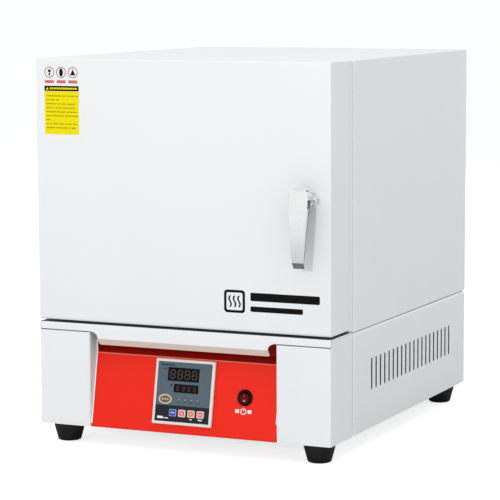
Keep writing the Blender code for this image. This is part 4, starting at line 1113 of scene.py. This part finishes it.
def paint_rim_shade(lever, width):
    """Round the free edges of the lever's sides and paint shade on the rounding and a strip beside it, as a
    dark line along the rim.
    """
    form = bmesh.new()
    form.from_mesh(lever.data)
    edges = []
    for edge in form.edges:
        if len(edge.link_faces) != 2:
            continue
        middle = (edge.verts[0].co + edge.verts[1].co) / 2
        across = sorted(face.normal.x * math.copysign(1, middle.x) for face in edge.link_faces)
        if abs(across[0]) < 0.12 and across[1] > 0.9 and middle.y > 0.002 - lever_face(middle.z):
            edges.append(edge)
    bmesh.ops.bevel(form, geom=edges, offset=width, segments=2, profile=0.5, affect="EDGES", material=2)
    place, across = Vector((0, -0.0152, -0.0240)), Vector((0, 0.9974, -0.0717))
    everything = form.verts[:] + form.edges[:] + form.faces[:]
    bmesh.ops.bisect_plane(form, geom=everything, plane_co=place, plane_no=across)
    for face in form.faces:
        middle = face.calc_center_median()
        outward = face.normal.x * middle.x > 0 and abs(face.normal.x) > 0.9
        if outward and middle.z < -0.0160 and (middle - place).dot(across) > 0:
            face.material_index = 2
    form.to_mesh(lever.data)
    form.free()


def make_handle():
    """The lever: a bright tapered channel with rounded ears, a bent tip and the crank inside the door."""
    half, tip, wall = 0.0140, 0.0084, 0.0016
    fold, shoulder = -0.0872, 0.0120
    levels = [fold + (shoulder - fold) * i / 40 for i in range(41)]
    rear = [
        (-0.0178, 0.0152), (-0.0090, 0.0142), (-0.0010, 0.0098), (0.0062, 0.0050), (0.0066, -0.0050),
        (-0.0030, -0.0092), (-0.0110, -0.0160), (-0.0122, -0.0240), (-0.0168, -0.0880), (-0.0152, -0.0958),
        (-0.0178, -0.0958),
    ]
    radii = [0.0036, 0.012, 0.010, 0.0060, 0.0060, 0.008, 0.006, 0.02, 0.004, 0.0006, 0.0006, 0.012]
    side_view = closed_run(rear + [(-lever_face(z), z) for z in levels], radii + [0] * (len(levels) - 1))
    lever = prism("lever", [side_view], -half, half, "X", CHROME)
    lever.data.materials.append(SHADE_STEEL)
    # Painted shade for the dark line along the rims of the lever's sides.
    lever.data.materials.append(RIM_SHADE_STEEL)
    top, low = 0.0153, -0.1000
    right = closed_run(
        [(0, 0.03), (0, top), (half, top), (half, -shoulder), (tip, -0.0900), (tip, low), (0, low)],
        [0, 0, 0.0062, 0.02, 0.02, 0, 0],
    )
    right = [point for point in right if point[0] > SAME and point[1] < top + 0.0001]
    front_view = [(0, top)] + right + [(0, low)] + [(-x, z) for x, z in reversed(right)]
    carve(lever, prism("tool", [front_view], -0.05, 0.05, "Y"), operation="INTERSECT")
    inner = half - wall
    right = [(inner, 0.0130), (inner, -shoulder), (tip - wall, -0.0860)]
    room = prism("tool", [right + [(-x, z) for x, z in reversed(right)]], -0.0174, 0.05, "Y")
    for vertex in room.data.vertices:
        if vertex.co.y < 0:
            vertex.co.y = wall - lever_face(vertex.co.z)
    carve(lever, room, cutter((-0.03, -0.0170, -0.0122), (0.03, -0.0086, -0.0006)))
    paint_rim_shade(lever, 0.0012)
    round_edges(lever, 0.0005, 3, 42)
    settle(lever)
    bar, hub, bore = 0.0030, 0.0060, 0.0033
    carve(
        lever,
        cutter((-bar, -0.0182, -hub), (bar, 0.0, hub)),
        drill(hub, bar),
        cutter((-bar, 0.0, -bar), (bar, 0.0150, bar)),
        operation="UNION",
    )
    carve(lever, drill(bore, 0.03))
    # Index 1 paints shade and dark reflection: on the channel's rims and inside and on the tip bent back
    # under the fold.
    for side in lever.data.polygons:
        x, y, z = side.center
        outward = side.normal.x * x > 0 and abs(side.normal.x) > 0.9
        rim = abs(side.normal.x) < 0.4 and y > -0.0150 and abs(x) > inner - 0.0002
        inside = abs(x) < inner + 0.0002 and side.normal.y > -0.5 and y > 0.001 - lever_face(z)
        if rim or (not outward and (inside or z < fold - 0.0003)):
            side.material_index = 1
    lever.data.transform(Matrix.Translation(HANDLE_AT))
    show(lever, "handle", ["handle_lever"], 0.6)


def make_handle_mount():
    """The round base with two ears, and the pin with its heads."""
    half, wall, (x, y, z) = 0.0117, 0.0025, HANDLE_AT
    profile = [(0, 0.0023), (0.0138, 0.0023), (0.0145, 0.0016), (0.0145, 0.0003), (0, 0.0003)]
    base = lathe("handle_mount_base", profile, (x, FRONT, z - 0.001), (0, -1, 0), WHITE, 64)
    carve(base, crank_slot())
    show(base, "door", ["handle_bracket"], 30)
    foot = FRONT - 0.0022
    ear = [(foot, z + 0.008), *arc((y, z), 0.0058, 60, 300, 20), (foot, z - 0.010)]
    ears = []
    for name, hand in (("left", -1), ("right", 1)):
        low, high = sorted((x + hand * half, x + hand * (half - wall)))
        piece = prism(f"handle_ear_{name}", [ear], low, high, "X", CHROME)
        # Painted shade: the ears' edges are dark steel, a dark outline where they meet the door.
        paint(piece, SHADE_STEEL, lambda place, normal: abs(normal.x) < 0.5)
        ears.append(carve(piece, drill(0.0033, 0.03, HANDLE_AT)))
    show(joined("handle_ears", ears), "door", ["handle_bracket"], 30)

    end, head, pin = 0.0140 + 0.0058, 0.0140 + 0.0003, 0.0030
    profile = [
        (0, end), (0.0034, end), (0.0042, end - 0.0004), (0.0046, end - 0.0010), (0.0046, end - 0.0028),
        (0.0042, end - 0.0034), (pin, end - 0.0036), (pin, -head), (0.0042, -head), (0.0046, -head - 0.0005),
        (0.0046, -head - 0.0019), (0.0040, -head - 0.0025), (0, -head - 0.0026),
    ]
    pin = lathe("handle_pin_bright", profile, HANDLE_AT, (1, 0, 0), STEEL, 40)
    show(pin, "door", ["handle_pin"], 30)


def make_hinges():
    """Both butt hinges, with smooth knuckles, pins and two screws on each leaf."""
    radius, inner, bore, gap = 0.0040, 0.0025, 0.0021, 0.0003
    meet, reach = math.degrees(math.acos(inner / radius)), radius + 0.001
    for level in ("upper", "lower"):
        low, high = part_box(f"hinge_pin_{level}")
        x, y = (low.x + high.x) / 2, (low.y + high.y) / 2
        leaf_low, leaf_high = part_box(f"hinge_leaf_cabinet_{level}")
        middle, half = (leaf_low.z + leaf_high.z) / 2, (leaf_high.z - leaf_low.z) / 2
        knuckle, past = half / 3, half + 0.001
        for owner, way, spans in (
            ("cabinet", 1, [(-knuckle - gap, knuckle + gap)]),
            ("door", -1, [(-past, -knuckle), (knuckle, past)]),
        ):
            outline = [(radius, 0.022), (inner, 0.022), *arc((0, 0), radius, meet, 360, 36)]
            outline = [(x + a, y + way * b) for a, b in outline]
            leaf = prism(f"hinge_{level}_{owner}", [outline], middle - half, middle + half, "Z", CHROME)
            for a, b in spans:
                carve(leaf, cutter((x - reach, y - reach, middle + a), (x + reach, y + reach, middle + b)))
            carve(leaf, drill(bore, 0.05, (x, y, middle), (0, 0, 1), 32))
            show(leaf, owner, [f"hinge_leaf_{owner}_{level}"], 30)
            places = [(x + inner, y + way * 0.0140, middle + share * half) for share in (-0.62, 0.62)]
            make_screws(f"hinge_{level}_{owner}_screws", places, (-1, 0, 0), owner, 0.0026)
        end = high.z - middle
        profile = [
            (0, end), (0.0022, end), (0.0031, end - 0.0006), (0.0034, half + 0.0009),
            (0.0034, half + gap), (0.0018, half + gap), (0.0018, -half), (0, -half),
        ]
        pin = lathe(f"hinge_{level}_pin", profile, (x, y, middle), (0, 0, 1), STEEL, 32)
        show(pin, "cabinet", [f"hinge_pin_{level}"], 30)


# ---------------------------------------------------------------- chamber, rear and feet
def make_coils():
    """Each heating element as one wire wound into a close coil along its six level runs."""
    runs, rod, coil, wire_radius, turn_length, steps = 6, 0.0025, 0.0036, 0.0008, 0.0046, 9
    for name, hand in (("left", -1), ("right", 1)):
        node = f"heating_element_{name}"
        low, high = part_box(node)
        bottom, top = low.z + rod, high.z - rod
        pitch = (top - bottom) / (runs - 1)
        bend = pitch / 2
        front, rear, end = low.y + rod + bend, FRONT + 0.358, high.y
        path = [(end, bottom)]
        for i in range(runs - 1):
            middle = bottom + (i + 0.5) * pitch
            y, start, finish = (rear, -90, 90) if i % 2 else (front, 270, 90)
            path += arc((y, middle), bend, start, finish, 10)
        path.append((end, top))
        points = [Vector(((low.x + high.x) / 2, a, b)) for a, b in path]
        centres = []
        for start, finish in zip(points, points[1:]):
            count = max(1, round((finish - start).length / turn_length * steps))
            centres += [start.lerp(finish, k / count) for k in range(count)]
        centres.append(points[-1])
        travelled = [0.0]
        for start, finish in zip(centres, centres[1:]):
            travelled.append(travelled[-1] + (finish - start).length)
        out, lead = Vector((hand, 0, 0)), end - (rear + 0.012)
        wound = []
        for i, centre in enumerate(centres):
            ahead = (centres[min(i + 1, len(centres) - 1)] - centres[max(i - 1, 0)]).normalized()
            across = ahead.cross(out).normalized()
            angle = math.tau * travelled[i] / turn_length
            ease = (min(travelled[i], travelled[-1] - travelled[i]) - lead) / 0.008
            turn = out * math.cos(angle) + across * math.sin(angle)
            wound.append(centre + turn * coil * min(1.0, max(0.0, ease)))
        curve = bpy.data.curves.new(f"coil_{name}", "CURVE")
        curve.dimensions = "3D"
        curve.bevel_depth = wire_radius
        curve.bevel_resolution = 1
        curve.use_fill_caps = True
        spline = curve.splines.new("POLY")
        spline.points.add(len(wound) - 1)
        for target, point in zip(spline.points, wound):
            target.co = (*point, 1)
        guide = new_object("guide", curve)
        mesh = bpy.data.meshes.new_from_object(guide.evaluated_get(bpy.context.evaluated_depsgraph_get()))
        bpy.data.objects.remove(guide, do_unlink=True)
        mesh.name = f"coil_{name}"
        mesh.materials.clear()
        mesh.materials.append(ALLOY)
        show(new_object(f"coil_{name}", mesh), "cabinet", [node], 80)


def make_feet():
    """Tapered rubber feet with a soft lower edge and a steel screw in the hollow."""
    seat = 0.0110
    for name in ("front_left_foot", "front_right_foot", "rear_left_foot", "rear_right_foot"):
        low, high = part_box(name)
        x, y, top = (low.x + high.x) / 2, (low.y + high.y) / 2, high.z
        profile = [
            (0.0045, top), (0.0232, top), (0.0240, top - 0.0004), (0.0243, top - 0.0011),
            (0.0178, 0.0030), (0.0172, 0.0015), (0.0162, 0.0005), (0.0150, 0.0),
            (0.0100, 0.0), (0.0095, 0.0005), (0.0090, seat), (0.0045, seat),
        ]
        foot = lathe(name + "_rubber", profile, (x, y, 0), (0, 0, 1), RUBBER, 64)
        show(foot, "cabinet", [name], 40)
        make_screws(name + "_screw", [(x, y, seat)], (0, 0, -1), "cabinet", 0.0058)


def make_rear():
    """The thermocouple head and cap, the cable gland and the screws of both rear plates."""
    back = (0, 1, 0)
    low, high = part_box("thermocouple_head")
    x, z = (low.x + high.x) / 2, (low.z + high.z) / 2
    end = CAD_BOX[1].y - BACK
    head = [
        (0.0222, 0.0345), (0.0232, 0.0342), (0.0235, 0.0335), (0.0235, 0.0200), (0.0229, 0.0190),
        (0.0210, 0.0172), (0.0156, 0.0128), (0.0144, 0.0110), (0.0140, 0.0090), (0.0140, 0.0062),
        (0.0148, 0.0053), (0.0213, 0.0050), (0.0220, 0.0045), (0.0220, 0.0003), (0.0053, 0.0003),
        (0.0053, 0.0150), (0.0190, 0.0150), (0.0190, 0.0345),
    ]
    cap = [
        (0, end), (0.0120, end), (0.0150, end - 0.0003), (0.0190, end - 0.0014), (0.0222, end - 0.0032),
        (0.0240, end - 0.0056), (0.0245, end - 0.0078), (0.0245, 0.0352), (0.0241, 0.0348), (0, 0.0348),
    ]
    for name, profile in (("head", head), ("cap", cap)):
        piece = lathe("probe_" + name, profile, (x, BACK, z), back, ALUMINIUM, 64)
        show(piece, "cabinet", ["thermocouple_" + name], 28)
    angles = [math.radians(90 + 120 * i) for i in range(3)]
    places = [(x + 0.0180 * math.cos(a), BACK + 0.0050, z + 0.0180 * math.sin(a)) for a in angles]
    make_screws("probe_flange_screws", places, back, "cabinet", 0.0024)

    low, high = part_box("cable_gland")
    x, z = (low.x + high.x) / 2, (low.z + high.z) / 2
    dome = [
        (0.0050, 0.0300), (0.0072, 0.0300), (0.0086, 0.0297), (0.0104, 0.0282), (0.0116, 0.0262),
        (0.0124, 0.0225), (0.0125, 0.0200), (0.0125, 0.0100), (0.0118, 0.0095), (0.0118, 0.0080),
        (0.0080, 0.0080), (0.0080, -0.0080), (0.0050, -0.0080),
    ]
    gland = lathe("gland", dome, (x, BACK, z), back, BLACK, 48)

    def round_gland(count, radius):
        """Points spaced evenly round the gland."""
        angles = [math.tau * i / count for i in range(count)]
        return [(x + radius * math.cos(a), z + radius * math.sin(a)) for a in angles]

    nut = prism("tool", [closed_run(round_gland(6, 0.0135), 0.0012, 3)], BACK + 0.0021, BACK + 0.0088, "Y")
    carve(nut, drill(0.0060, 0.03, (x, BACK, z), back))
    carve(gland, nut, operation="UNION")
    ribs = [ellipse(a, b, 0.0014, 0.0014, 10) for a, b in round_gland(14, 0.0127)]
    carve(gland, prism("tool", ribs, BACK + 0.0110, BACK + 0.0205, "Y"))
    show(gland, "cabinet", ["cable_gland"], 30)

    low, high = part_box("base_back_panel")
    columns = low.x + 0.007, (low.x + high.x) / 2, high.x - 0.007
    places = [(a, high.y, b) for a in columns for b in (low.z + 0.006, high.z - 0.006)]
    make_screws("base_rear_screws", places, back, "cabinet")
    low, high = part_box("back_panel")
    margin, middle = 0.012, (low.z + high.z) / 2
    columns = low.x + margin, (low.x + high.x) / 2, high.x - margin
    places = [(a, high.y, b) for a in columns for b in (low.z + margin, middle, high.z - margin)]
    places = [(a, y, b) for a, y, b in places if abs(a) > 0.01 or abs(b - middle) > 0.05]
    make_screws("rear_screws", places, back, "cabinet")


FINISHES = [
    (WHITE, "back_panel floor_plate base_back_panel front_plate door_inner_plate"),
    (ZINC, "mid_deck strike_plate inner_casing latch_bracket latch_hook"),
    (FIBRE, "insulation_floor insulation_roof insulation_left insulation_right insulation_back"),
    (FIBRE, "throat_frame door_blanket door_plug"),
    (CERAMIC, "hearth_plate element_terminal_left element_terminal_right thermocouple_sheath"),
    (ALUMINIUM, "heat_sink"),
    (BLACK, "solid_state_relay"),
    (SLATE, "controller_face"),
    (WINDOW, "display_upper display_lower"),
]


def dress_frame():
    """The CAD nodes that stay get their finished materials."""
    for material, names in FINISHES:
        for name in names.split():
            mesh = frame["nodes"][name].data
            mesh.materials.clear()
            mesh.materials.append(material)


make_cover()
make_base()
make_ledge()
make_pillars()
make_panel()
make_controller()
make_keys()
make_windows()
make_switch()
make_door()
make_door_label()
make_door_mark()
make_seal()
make_handle()
make_handle_mount()
make_hinges()
make_coils()
make_feet()
make_rear()
dress_frame()
